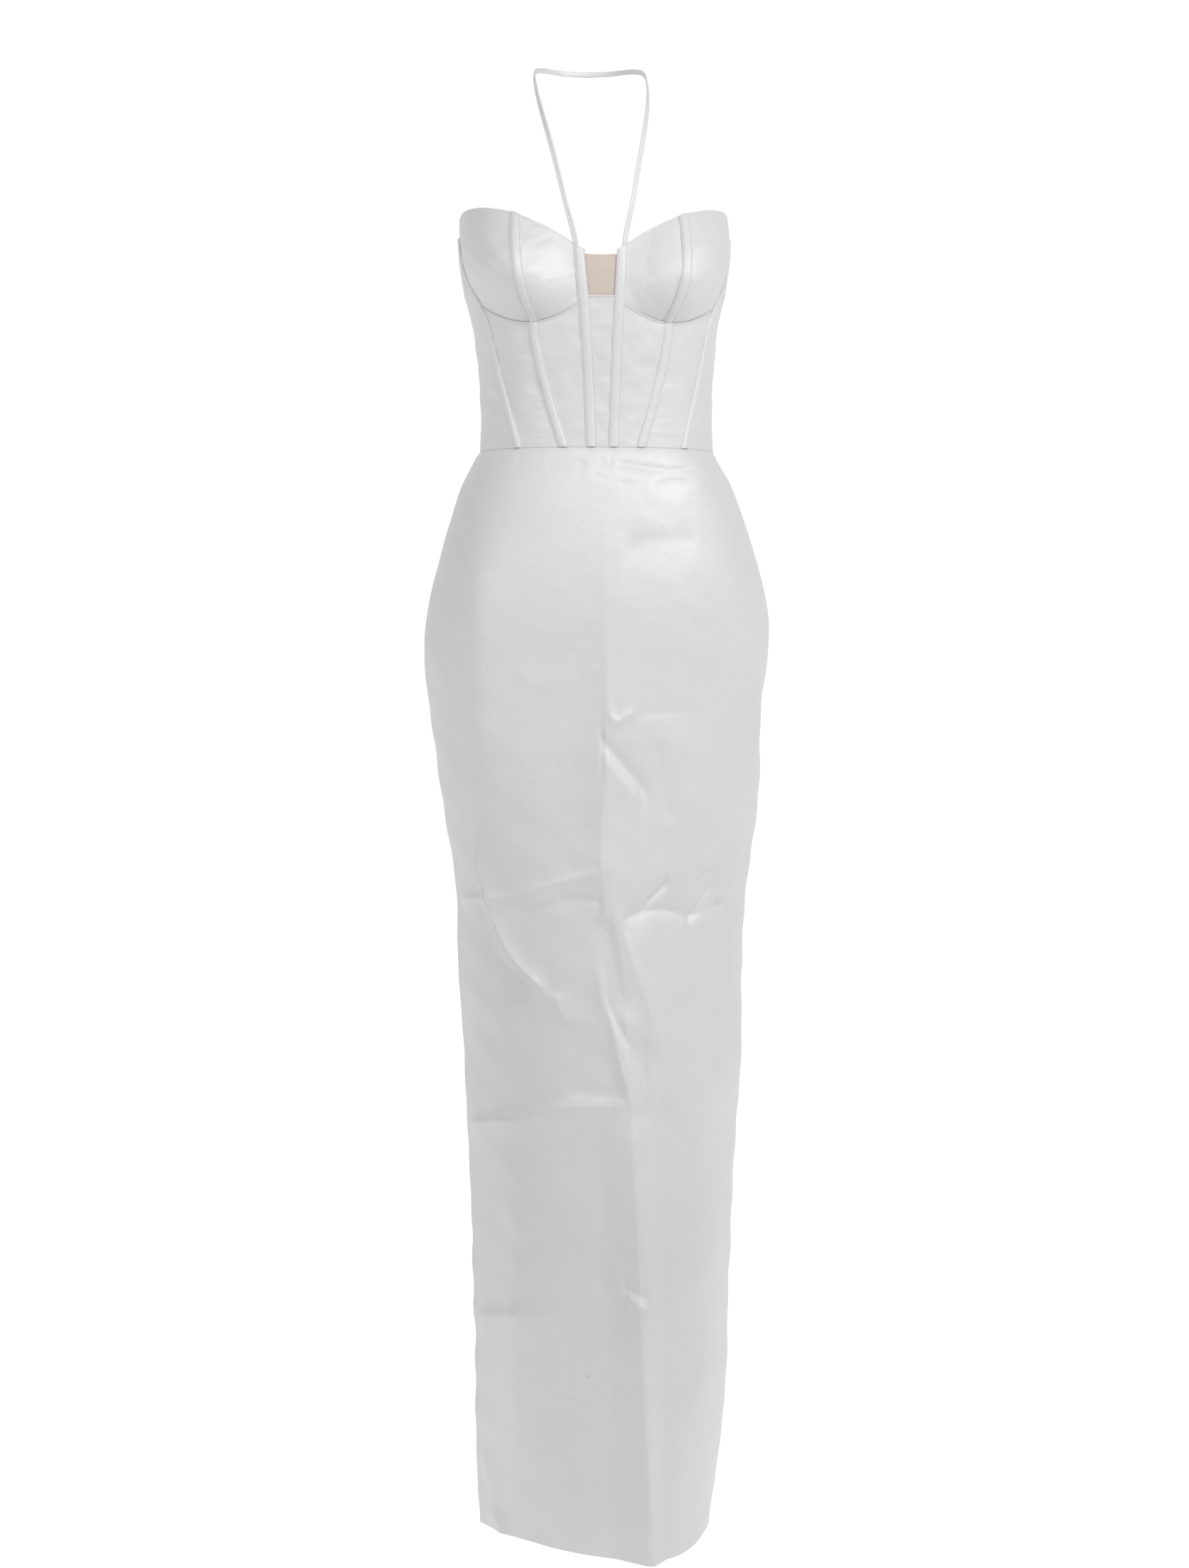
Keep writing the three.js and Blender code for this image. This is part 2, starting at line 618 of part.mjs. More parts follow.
// How far one fold moves the cloth at a place, seen from the front or the back
function foldRise(fold, x, z) {
  const alongX = fold.x2 - fold.x1;
  const alongZ = fold.z2 - fold.z1;
  const length = Math.hypot(alongX, alongZ);
  const t = ((x - fold.x1) * alongX + (z - fold.z1) * alongZ) / length ** 2;
  if (t <= 0 || t >= 1) return 0;
  const bow = fold.bow * 4 * t * (1 - t);
  const off = ((x - fold.x1) * alongZ - (z - fold.z1) * alongX) / length + bow;
  const fade = smoothstep(t, 0, FOLD_END) * smoothstep(1 - t, 0, FOLD_END);
  return fold.rise * fade * Math.exp(-((off / fold.width) ** 2));
}

function skirtPoint(turn, z) {
  const point = skirtRing(turn, z);
  const face = Math.abs(turn) <= 1 ? "front" : "back";
  const x = point.x - BODY_X;
  let rise = 0;
  for (const fold of SKIRT_FOLDS) {
    if (fold.face === face) rise += foldRise(fold, x, z);
  }
  const edge = smoothstep(WAIST_Z - z, 0, 30) * smoothstep(Math.abs(1 - Math.abs(turn)), 0, 0.12);
  const outward = normalOf(skirtRing, turn, z, 0.004, 2);
  return point.addScaledVector(outward, rise * edge);
}

const onSkirt = lifted(skirtPoint, 0.01, 2);

const skirtLevels = SKIRT_BANDS.flatMap(({ top, bottom, rows }) =>
  evenly(rows)
    .slice(0, -1)
    .map((share) => lerp(top, bottom, share)),
).concat(HEM_Z);

// A panel of the skirt: turnAt gives the turn at a share of the panel's width
function addSkirtPanel(name, turnAt, columns) {
  const layer = (out) =>
    skirtLevels.map((height, i) => {
      const z = i === 0 ? height - SEAM_GAP / 2 : height;
      return columns.map((share) => {
        const point = onSkirt(turnAt(share, z), z, out);
        if (i === 0 || height === HEM_Z) point.z = z;
        return point;
      });
    });
  addMesh(name, wallGeometry(layer(0), layer(-SKIRT_CLOTH)), SATIN);
}

function addSkirt() {
  const turnAcross = (mm) => mm / 200;
  const half = turnAcross(SEAM_GAP / 2);
  const seamOn = (column) => (z) => readTable(SKIRT_SIDE_SEAM, "z", z, column);
  const slit = (z) => SLIT.halfGap * clamp((SLIT.top - z) / (SLIT.top - HEM_Z), 0, 1) ** 1.5;
  const backEdgeOf = (z) => 2 - half - turnAcross(slit(z));
  const left = seamOn("left");
  const right = seamOn("right");
  const frontTurn = (share, z) => {
    const across = share * 2 - 1;
    const seam = (across < 0 ? right(z) : left(z)) - half;
    return Math.sign(across) * seam * Math.abs(across) ** FRONT_SPREAD;
  };
  const backTurnL = (share, z) => lerp(left(z) + half, backEdgeOf(z), share);
  const backTurnR = (share, z) => lerp(-backEdgeOf(z), -right(z) - half, share);
  addSkirtPanel("skirt_front", frontTurn, evenly(FRONT_COLUMNS));
  addSkirtPanel("skirt_back_L", backTurnL, evenly(BACK_COLUMNS));
  addSkirtPanel("skirt_back_R", backTurnR, evenly(BACK_COLUMNS));
}

// The closed zip's tape, inside the centre back seam from near the top edge to the hip
function addZipTape() {
  const top = backEdge(180) - ZIP.topBelowEdge;
  const layer = (below) =>
    evenly(ZIP.rows).map((share) => {
      const z = lerp(top - ZIP.length, top, share);
      const back = z > WAIST_Z ? torsoPoint(180, z) : skirtPoint(2, z);
      return [-0.5, 0, 0.5].map((side) => {
        const x = side * ZIP.width;
        const curve = (x * x) / (2 * ZIP.curve);
        return new THREE.Vector3(back.x + x, back.y - curve - ZIP.inside - below, z);
      });
    });
  addMesh("zip_tape", wallGeometry(layer(0), layer(ZIP.tape)), ZIP_CLOTH);
}

// A closed geometry as a solid that can be joined to others
function solidOf(geometry) {
  const mesh = new wasm.Mesh({
    numProp: 3,
    vertProperties: new Float32Array(geometry.attributes.position.array),
    triVerts: new Uint32Array(geometry.index.array),
  });
  return new wasm.Manifold(mesh);
}

function geometryOf(solid) {
  const mesh = solid.getMesh();
  return closedGeometry(Array.from(mesh.vertProperties), Array.from(mesh.triVerts));
}

// A box as a closed geometry with shared corners
function boxGeometry(width, depth, height, centre) {
  const corner = (x, y, z) =>
    new THREE.Vector3(x * width, y * depth, z * height).multiplyScalar(0.5).add(centre);
  const face = (y) => [-1, 1].map((z) => [-1, 1].map((x) => corner(x, y, z)));
  return wallGeometry(face(1), face(-1));
}

// The slider's plate lies on the closed seam, and its bail holds the pull tab's eye
function addSlider() {
  const height = SLIDER.height;
  const middle = SLIDER.top - height / 2;
  const back = torsoPoint(180, middle);
  const plateY = back.y + LIFT + SLIDER.plate / 2;
  const barY = back.y + LIFT + SLIDER.reach - SLIDER.bar / 2;
  const legY = back.y + LIFT + SLIDER.reach / 2;
  const box = (width, depth, tall, x, y) =>
    solidOf(boxGeometry(width, depth, tall, new THREE.Vector3(x, y, middle)));
  let slider = box(SLIDER.width, SLIDER.plate, height, back.x, plateY);
  slider = slider.add(box(SLIDER.width, SLIDER.bar, SLIDER.bar, back.x, barY));
  for (const { sign } of sides) {
    const legX = back.x + (sign * (SLIDER.width - SLIDER.legWidth)) / 2;
    slider = slider.add(box(SLIDER.legWidth, SLIDER.reach, SLIDER.bar, legX, legY));
  }
  addMesh("zip_slider", geometryOf(slider), ZIP_METAL);
  return new THREE.Vector3(back.x, barY, middle);
}

// The pull tab: an eye round the slider's bar, and a tab that hangs from it
function addPull(pivot) {
  const { eyeOuter, eyeInner, length, thick } = PULL;
  const meet = Math.asin(thick / 2 / eyeOuter);
  const profile = new THREE.Shape();
  profile.absarc(0, 0, eyeOuter, meet - Math.PI / 2, (3 * Math.PI) / 2 - meet, false);
  profile.lineTo(-thick / 2, -length);
  profile.lineTo(thick / 2, -length);
  profile.closePath();
  const eye = new THREE.Path();
  eye.absarc(0, 0, eyeInner, 0, Math.PI * 2, true);
  profile.holes.push(eye);
  const width = SLIDER.width - 2 * SLIDER.legWidth - 2 * PULL.sideGap;
  const geometry = new THREE.ExtrudeGeometry(profile, {
    depth: width,
    bevelEnabled: false,
    curveSegments: 10,
  });
  const pull = addMesh("zip_pull", geometry, ZIP_METAL);
  const diagonal = new THREE.Vector3(1, 1, 1).normalize();
  pull.setRotationFromAxisAngle(diagonal, (2 * Math.PI) / 3); // the profile's Y becomes Z
  pull.position.set(pivot.x - width / 2, pivot.y, pivot.z);
}

addCentreFront();
for (const side of sides) {
  addBodiceSide(side);
  addChannels(side);
}
addStrap();
addSkirt();
addZipTape();
addPull(addSlider());

export default dress;
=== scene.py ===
import math

import bpy
import numpy as np
from mathutils import Matrix, Vector


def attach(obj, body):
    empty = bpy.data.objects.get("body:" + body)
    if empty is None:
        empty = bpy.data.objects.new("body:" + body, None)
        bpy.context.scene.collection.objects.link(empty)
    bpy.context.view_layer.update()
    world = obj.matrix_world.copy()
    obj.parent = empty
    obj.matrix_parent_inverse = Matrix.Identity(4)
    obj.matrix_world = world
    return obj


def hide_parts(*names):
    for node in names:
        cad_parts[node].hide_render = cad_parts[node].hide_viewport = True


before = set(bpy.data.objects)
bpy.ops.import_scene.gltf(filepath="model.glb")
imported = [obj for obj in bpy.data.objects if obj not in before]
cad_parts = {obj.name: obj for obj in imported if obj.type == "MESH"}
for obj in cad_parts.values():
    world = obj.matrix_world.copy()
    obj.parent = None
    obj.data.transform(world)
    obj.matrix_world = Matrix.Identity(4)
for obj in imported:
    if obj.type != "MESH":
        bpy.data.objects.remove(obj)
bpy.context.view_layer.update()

# A floor-length halter dress in heavy satin. Lengths here are millimetres until a mesh
# is made. The front faces -Y, +X is the wearer's left, +Z is up.
MM = 0.001

# FORMS: sizes and tables

WAIST_Z = -405.0
HEM_Z = -1545.0
BODY_X = 8.0
BODY_Y = -61.8
SQUARENESS = 2.2
SIDE_SEAM = 96.0
BACK_SEAM = 138.0
SHEER_BOTTOM = -252.5
SHEER_TOP = -210.0
SHEER_DIP = 1.5
SHEER_LAP = 1.5
SHEER_SINK = 0.9
SHEER_HEM = 0.35

CUP_DEPTH = 31.0
CUP_CREST = 0.42
CUP_AT_TOP = 0.3
CUP_PEAK = 35.0
CUP_LEAN = 20.0
CUP_FADE = 1.6
CUP_INNER = 1.3
CUP_OUTER = 1.0
CHANNEL_WIDTH = 11.0


class Table:
    """Rows of named columns, read on a smooth curve through them by the first column."""

    def __init__(self, names, rows):
        self.names = names.split()
        data = np.array(sorted(rows), dtype=float)
        self.key = data[:, 0]
        self.data = data

    def at(self, column, value):
        x = np.clip(np.asarray(value, dtype=float), self.key[0], self.key[-1])
        y = self.data[:, self.names.index(column)]
        k = self.key
        n = len(k)
        i = np.clip(np.searchsorted(k, x, side="right") - 1, 0, n - 2)
        before = np.maximum(i - 1, 0)
        after = np.minimum(i + 2, n - 1)
        span = k[i + 1] - k[i]
        t = (x - k[i]) / span
        slope_a = (y[i + 1] - y[before]) / (k[i + 1] - k[before]) * span
        slope_b = (y[after] - y[i]) / (k[after] - k[i]) * span
        t2 = t * t
        t3 = t2 * t
        return (
            (2 * t3 - 3 * t2 + 1) * y[i]
            + (t3 - 2 * t2 + t) * slope_a
            + (3 * t2 - 2 * t3) * y[i + 1]
            + (t3 - t2) * slope_b
        )


# Bodice sections: half width, depth to the front and to the back
BODICE = Table("z half front back", [
    (-150, 141, 93, 92),
    (-190, 142, 99, 94),
    (-235, 137.5, 102, 92),
    (-280, 127.5, 98, 89),
    (-331, 122.4, 91, 86),
    (-374, 121.3, 88, 85),
    (-405, 122.5, 88, 87),
])


def curve(rows):
    """A function that reads a smooth curve through rows of two numbers."""
    table = Table("key value", rows)

    def read(key):
        return table.at("value", key)

    return read


# Seams down the bodice, as degrees from the centre front for each height
centre_seam = curve([
    (-200, 9.1), (-236, 8.4), (-262, 7.8), (-300, 7.2), (-355, 6.2), (-405, 5.4),
])
cup_seam = curve([(-166, 37.6), (-197, 35.5), (-225, 32.8), (-253, 31.4), (-279, 32)])
mid_seam = curve([(-279, 32), (-313, 29.6), (-360, 24.8), (-405, 18.7)])
side_front_seam = curve([
    (-184, 80), (-205, 78.5), (-225, 74.5), (-243, 68.8), (-258, 64.7), (-272, 62.4),
    (-295, 60), (-340, 54), (-405, 42.6),
])

# Edges round the bodice, as a height for each angle
wire_line = curve([
    (7.8, -257), (17, -268.8), (23, -274.5), (32, -278), (41, -276.5), (50, -270.5),
    (57, -264.5), (64, -257),
])
neckline = curve([
    (5.5, -208), (9.1, -203), (12, -197.8), (18.6, -186.7), (26.2, -177.1),
    (33.1, -169.9), (42, -164), (55, -160), (72, -161), (80, -166),
])
back_edge = curve([(78, -185), (96, -193), (138, -199), (180, -199)])

# Skirt sections: reach to each side, front crease, depths, and how far each face flattens
SKIRT = Table("z right left crease front back flat_r flat_l flat_back", [
    (-405, 122.5, 122.5, 0, 88, 87, 0, 0, 0),
    (-415, 129, 127, 1, 92, 91, 0, 0, 0),
    (-444, 143, 143, 2, 100, 100, 0.02, 0.02, 0),
    (-503, 162, 165, 2.5, 107, 112, 0.04, 0.04, 0),
    (-563, 178, 181, 3, 110, 119, 0.06, 0.06, 0),
    (-610, 182, 183.5, 3, 111, 121, 0.08, 0.08, 0.02),
    (-682, 174.5, 175, 3, 112, 120, 0.12, 0.12, 0.03),
    (-773, 163, 171, 3, 114, 119, 0.16, 0.16, 0.04),
    (-863, 149.5, 161, 5, 118, 121, 0.22, 0.2, 0.06),
    (-925, 148, 157, 17, 122, 123, 0.3, 0.26, 0.08),
    (-1040, 140.5, 154.5, 23, 129, 127, 0.38, 0.34, 0.1),
    (-1167, 136, 147, 30, 138, 132, 0.46, 0.4, 0.12),
    (-1292, 131, 143, 35, 146, 137, 0.54, 0.44, 0.14),
    (-1442, 129, 135, 41, 154, 142, 0.6, 0.5, 0.16),
    (-1545, 125.5, 121.5, 47, 159, 146, 0.64, 0.53, 0.16),
])

# The skirt's side seams, as a share of the way round from the centre front to the side
right_seam = curve([
    (-405, 0.98), (-480, 0.95), (-620, 0.92), (-820, 0.93), (-900, 0.97), (-1545, 0.97),
])
left_seam = curve([
    (-405, 0.96), (-480, 0.87), (-620, 0.88), (-820, 0.84), (-900, 0.96), (-1545, 0.96),
])


def centre_x(z):
    t = np.clip((z - WAIST_Z) / -WAIST_Z, 0, 1)
    return BODY_X * (1 - t**1.4)


def squared(sin, cos):
    return (np.abs(sin) ** SQUARENESS + np.abs(cos) ** SQUARENESS) ** (-1 / SQUARENESS)


def torso_point(angle, z):
    angle, z = np.broadcast_arrays(np.asarray(angle, float), np.asarray(z, float))
    sin, cos = np.sin(np.radians(angle)), np.cos(np.radians(angle))
    k = squared(sin, cos)
    depth = np.where(cos >= 0, BODICE.at("front", z), BODICE.at("back", z))
    x = centre_x(z) + BODICE.at("half", z) * sin * k
    return np.stack([x, BODY_Y - depth * cos * k, z], axis=-1)


def degrees_across(mm, z):
    return np.degrees(mm / BODICE.at("half", z))


def cup_point(angle, z):
    angle, z = np.broadcast_arrays(np.asarray(angle, float), np.asarray(z, float))
    point = torso_point(angle, z)
    a = np.abs(angle)
    start = centre_seam(z) + degrees_across(CHANNEL_WIDTH / 2 + 0.5, z)
    end = np.maximum(side_front_seam(z), CUP_PEAK + 10)
    height = np.minimum((z - wire_line(a)) / (neckline(a) - wire_line(a)), 1.1)
    under = 1 - (1 - height / CUP_CREST) ** 2
    over = np.maximum(height - CUP_CREST, 0) / (1 - CUP_CREST)
    rise = np.where(height < CUP_CREST, under, 1 - (1 - CUP_AT_TOP) * over**CUP_FADE)
    inner = np.sin(np.clip((a - start) / (CUP_PEAK - start), 0, 1) * math.pi / 2)
    outer = np.sin(np.clip((end - a) / (end - CUP_PEAK), 0, 1) * math.pi / 2)
    across = np.where(a < CUP_PEAK, inner**CUP_INNER, outer**CUP_OUTER)
    out = CUP_DEPTH * rise * across
    lean = math.radians(CUP_LEAN)
    push = np.stack([np.sin(lean) * np.sign(angle) * out, -np.cos(lean) * out, 0 * out], axis=-1)
    return point + push


def skirt_ring(turn, z):
    turn, z = np.broadcast_arrays(np.asarray(turn, float), np.asarray(z, float))
    turn = np.where(np.abs(turn) > 2, turn - 4 * np.sign(turn), turn)
    at_front = np.abs(turn) <= 1
    left = turn >= 0
    s = np.where(at_front, np.abs(turn), 2 - np.abs(turn))
    reach = np.where(left, SKIRT.at("left", z), -SKIRT.at("right", z))
    pole_x = np.where(at_front, SKIRT.at("crease", z), 0)
    pole_y = np.where(at_front, -SKIRT.at("front", z), SKIRT.at("back", z))
    flat_front = np.where(left, SKIRT.at("flat_l", z), SKIRT.at("flat_r", z))
    flat = np.where(at_front, flat_front, SKIRT.at("flat_back", z))
    sin, cos = np.sin(s * math.pi / 2), np.cos(s * math.pi / 2)
    k = squared(sin, cos)
    round_x, round_y = pole_x + (reach - pole_x) * sin * k, pole_y * cos * k
    chord_x, chord_y = pole_x + (reach - pole_x) * s, pole_y * (1 - s)
    x = round_x + (chord_x - round_x) * flat
    y = round_y + (chord_y - round_y) * flat
    return np.stack([BODY_X + x, BODY_Y + y, z], axis=-1)


def unit(vectors):
    return vectors / np.maximum(np.linalg.norm(vectors, axis=-1, keepdims=True), 1e-9)


def normal_of(surface, a, b, step_a, step_b):
    along_a = surface(a + step_a, b) - surface(a - step_a, b)
    along_b = surface(a, b + step_b) - surface(a, b - step_b)
    return unit(np.cross(along_a, along_b))


def torso_normal(surface, angle, z):
    return normal_of(surface, angle, z, 0.5, 0.8)


# CLOTH: grids of points, in rows upwards and columns across, made into thin shells

SATIN_THICK = 1.4
SKIRT_THICK = 1.2
SHEER_THICK = 0.6
EDGE_STEPS = (0, 0.35, 0.8, 1.3, 1.9, 2.6, 3.5, 5.0)


def smoothstep(value, low, high):
    t = np.clip((value - low) / (high - low), 0, 1)
    return t * t * (3 - 2 * t)


def spaced(length, step):
    """Shares of a length: fine steps at both ends and even ones between."""
    ends = np.array(EDGE_STEPS)
    inner = length - 2 * ends[-1]
    count = max(int(round(inner / step)), 2)
    middle = ends[-1] + inner * np.arange(1, count) / count
    return np.concatenate([ends, middle, length - ends[::-1]]) / length


NOISE_WAVES = 7
NOISE_PEAK = 4


def soft_noise(across, up, size, seed):
    """Smooth uneven waves of about the given size, mostly from -1 to 1."""
    random = np.random.RandomState(seed)
    total = np.zeros(np.broadcast(across, up).shape)
    for _ in range(NOISE_WAVES):
        turn = random.uniform(0, 2 * math.pi)
        wave = 2 * math.pi / (size * random.uniform(0.7, 1.8))
        phase = random.uniform(0, 2 * math.pi)
        total += np.sin((across * math.cos(turn) + up * math.sin(turn)) * wave + phase)
    return total / NOISE_PEAK


def distances(points, axis):
    """How far each point lies from the first one of its row (axis 1) or column (axis 0)."""
    steps = np.linalg.norm(np.diff(points, axis=axis), axis=-1)
    return np.insert(np.cumsum(steps, axis=axis), 0, 0, axis=axis)


def edge_distances(points):
    across = distances(points, 1)
    up = distances(points, 0)
    return {"from": across, "to": across[:, -1:] - across, "bottom": up, "top": up[-1:] - up}


def grid_normals(points):
    return unit(np.cross(np.gradient(points, axis=1), np.gradient(points, axis=0)))


# What sewing does to the cloth near an edge: rolled cloth sinks into the seam, and a
# stitched edge has its allowance under it and a groove where the stitches pull
SEAM_SINK, SEAM_REACH = 0.7, 1.3
STITCH_IN = 2.4
ALLOWANCE, ALLOWANCE_END = 0.35, 1.6
LIP, LIP_IN = 0.9, 0.8
STITCH_GROOVE, TURNED_GROOVE = 0.45, 0.3
OVERLAP_SINK = 0.1
PUCKER_RISE, PUCKER_REACH = 0.26, 6
PUCKER_SHORT, PUCKER_LONG = 7, 17


def ridge(d, middle, reach):
    """1 along a line, falling off on both of its sides."""
    return np.exp(-(((d - middle) / reach) ** 2))


def edge_relief(kind, d):
    if kind == "rolled":
        return -SEAM_SINK * ridge(d, 0, SEAM_REACH)
    if kind == "stitched":
        allowance = ALLOWANCE * (1 - smoothstep(d, STITCH_IN, STITCH_IN + ALLOWANCE_END))
        lip = LIP * ridge(d, LIP_IN, LIP_IN)
        return allowance + lip - STITCH_GROOVE * ridge(d, STITCH_IN, 0.5)
    if kind == "overlap":
        return -OVERLAP_SINK * ridge(d, 0, 0.5)
    if kind == "turned":
        return -TURNED_GROOVE * ridge(d, STITCH_IN, 0.6)
    return 0 * d


def puckers(along, d, seed):
    """Small ripples that a seam draws up in the cloth beside it."""
    short = soft_noise(along, 0 * along, PUCKER_SHORT, seed)
    long = soft_noise(along, 0 * along, PUCKER_LONG, seed + 1)
    return PUCKER_RISE * (short + 0.6 * long) * np.exp(-d / PUCKER_REACH) * smoothstep(d, 0, 1.5)


def make_object(name, points, faces, uvs=None, smooth=None):
    """A mesh object. Its first faces, smooth of them, are smooth, and all if it isn't given."""
    mesh = bpy.data.meshes.new(name)
    mesh.from_pydata((np.asarray(points) * MM).tolist(), [], faces)
    count = len(mesh.polygons)
    mesh.polygons.foreach_set("use_smooth", np.arange(count) < (smooth or count))
    if uvs is not None:
        corner = np.empty(len(mesh.loops), dtype=np.int32)
        mesh.loops.foreach_get("vertex_index", corner)
        layer = mesh.uv_layers.new(name="UVMap")
        layer.data.foreach_set("uv", uvs[corner].ravel())
    mesh.update()
    made = bpy.data.objects.new(name, mesh)
    bpy.context.collection.objects.link(made)
    return made


def grid_faces(start, rows, columns, turned):
    index = start + np.arange(rows * columns).reshape(rows, columns)
    a, b = index[:-1, :-1].ravel(), index[:-1, 1:].ravel()
    c, d = index[1:, 1:].ravel(), index[1:, :-1].ravel()
    quads = np.stack([a, d, c, b] if turned else [a, b, c, d], axis=-1)
    return quads.tolist()


def rim_faces(outer_edge, inner_edge, coarse):
    faces = []
    for k in range(len(inner_edge) - 1):
        beside = outer_edge[k * coarse : (k + 1) * coarse + 1]
        faces.append([*beside, inner_edge[k + 1], inner_edge[k]])
    return faces


def shell(name, points, thick, free=(), coarse=1, under=0.0):
    """A closed thin shell under a grid, rounded at its free edges. Its inner layer may have
    only every second row and column, and under is cloth added on the inside."""
    rows, columns = points.shape[:2]
    normals = grid_normals(points)
    d = edge_distances(points)
    near = np.min([d[edge] for edge in free], axis=0) if free else np.full((rows, columns), thick)
    t = np.clip(near / (thick / 2), 0, 1)
    tuck = thick / 2 * (1 - np.sqrt(1 - (1 - t) ** 2))
    outer = points - normals * tuck[..., None]
    inner = points - normals * (thick - tuck + under)[..., None]
    inner = inner[::coarse, ::coarse]
    uv = np.stack([d["from"], d["bottom"]], axis=-1) * MM
    verts = np.concatenate([outer.reshape(-1, 3), inner.reshape(-1, 3)])
    uvs = np.concatenate([uv.reshape(-1, 2), uv[::coarse, ::coarse].reshape(-1, 2)])
    low_rows, low_columns = inner.shape[:2]
    start = rows * columns
    top = np.arange(start).reshape(rows, columns)
    low = start + np.arange(low_rows * low_columns).reshape(low_rows, low_columns)
    faces = grid_faces(0, rows, columns, False) + grid_faces(start, low_rows, low_columns, True)
    layers = len(faces)
    for edge in (np.s_[0, ::-1], np.s_[-1, :], np.s_[:, 0], np.s_[::-1, -1]):
        faces += rim_faces(top[edge].tolist(), low[edge].tolist(), coarse)
    return make_object(name, verts, faces, uvs, layers)


def finish_piece(piece, mat, nodes=()):
    piece.data.materials.append(mat)
    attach(piece, "dress")
    if nodes:
        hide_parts(*nodes)
    return piece


# MATERIALS


def add_node(tree, kind, inputs=None, **settings):
    made = tree.nodes.new(kind)
    for key, value in settings.items():
        setattr(made, key, value)
    for key, value in (inputs or {}).items():
        if isinstance(value, bpy.types.NodeSocket):
            tree.links.new(value, made.inputs[key])
        else:
            made.inputs[key].default_value = value
    return made


def new_material(name, constants):
    mat = bpy.data.materials.new(name)
    mat.use_nodes = True
    for key, value in constants.items():
        mat.node_tree.nodes["Principled BSDF"].inputs[key].default_value = value
    return mat, mat.node_tree


def linked(mat, sources):
    """The material, with its shader's sockets linked to their sources."""
    for key, source in sources.items():
        mat.node_tree.links.new(source, mat.node_tree.nodes["Principled BSDF"].inputs[key])
    return mat


def coordinates(tree, kind):
    return add_node(tree, "ShaderNodeTexCoord").outputs[kind]


def stretched(tree, source, scale):
    mapping = add_node(tree, "ShaderNodeMapping", {"Vector": source, "Scale": scale})
    return mapping.outputs["Vector"]


def noise(tree, vector, scale, detail=3.0, roughness=0.5):
    values = {"Vector": vector, "Scale": scale, "Detail": detail, "Roughness": roughness}
    return add_node(tree, "ShaderNodeTexNoise", values).outputs["Fac"]


def to_range(tree, value, low, high, new_low, new_high):
    values = {
        "Value": value, "From Min": low, "From Max": high, "To Min": new_low, "To Max": new_high,
    }
    return add_node(tree, "ShaderNodeMapRange", values).outputs["Result"]


def mix_colour(tree, factor, first, second):
    sockets = {0: factor, 6: first, 7: second}
    return add_node(tree, "ShaderNodeMix", sockets, data_type="RGBA").outputs[2]


def bump(tree, height, distance, strength, below=None):
    values = {"Height": height, "Distance": distance, "Strength": strength}
    if below is not None:
        values["Normal"] = below
    return add_node(tree, "ShaderNodeBump", values).outputs["Normal"]


def multiply(tree, first, second):
    return add_node(tree, "ShaderNodeMath", {0: first, 1: second}, operation="MULTIPLY").outputs[0]


SATIN_LIGHT = (0.845, 0.84, 0.84, 1)
SATIN_SHADE = (0.785, 0.78, 0.785, 1)

# Marks on the front of the skirt: x and z from the body's centre, size, strength
BROWN_SPOT = (-18, -1358, 2.0, 0.6)
GREY_SPECKS = [
    (-32, -1382, 1.7, 0.3), (-11, -1373, 1.6, 0.3), (-19, -1309, 1.6, 0.28), (2, -1378, 1.3, 0.25),
    (-17, -1409, 1.4, 0.25), (-23, -1492, 1.4, 0.25), (-39, -1397, 1.2, 0.25),
]
SPRAY = (-16, -1352, 46, 0.08)
BROWN = (0.42, 0.3, 0.21, 1)
GREY = (0.4, 0.38, 0.38, 1)


def near_mark(tree, place, mark):
    """A mark's strength at its middle, falling to 0 at its size."""
    x, z, size, strength = mark
    there = ((BODY_X + x) * MM, 0, z * MM)
    apart = add_node(tree, "ShaderNodeVectorMath", {0: place, 1: there}, operation="DISTANCE")
    return to_range(tree, apart.outputs["Value"], size * MM, 0, 0, strength)


def add_marks(tree, place, colour):
    flat = add_node(tree, "ShaderNodeVectorMath", {0: place, 1: (1, 0, 1)}, operation="MULTIPLY")
    flat_place = flat.outputs["Vector"]
    colour = mix_colour(tree, near_mark(tree, flat_place, BROWN_SPOT), colour, BROWN)
    for speck in GREY_SPECKS:
        colour = mix_colour(tree, near_mark(tree, flat_place, speck), colour, GREY)
    spots = to_range(tree, noise(tree, place, 330, 1), 0.64, 0.72, 0, 1)
    amount = multiply(tree, spots, near_mark(tree, flat_place, SPRAY))
    return mix_colour(tree, amount, colour, GREY)


# The satin's textures: waves to a metre, and the depth of those that are felt, in metres
CLOUDS = 7.0
GRAIN = 520.0
WEAR = 16.0
HANDLING = {"scale": 52.0, "depth": 0.0013}
PEBBLES = {"scale": 230.0, "depth": 0.0003}
THREADS = {"scale": (1800, 260, 1), "depth": 0.00002}
WEFT = {"scale": (120, 2400, 1), "depth": 0.000015}


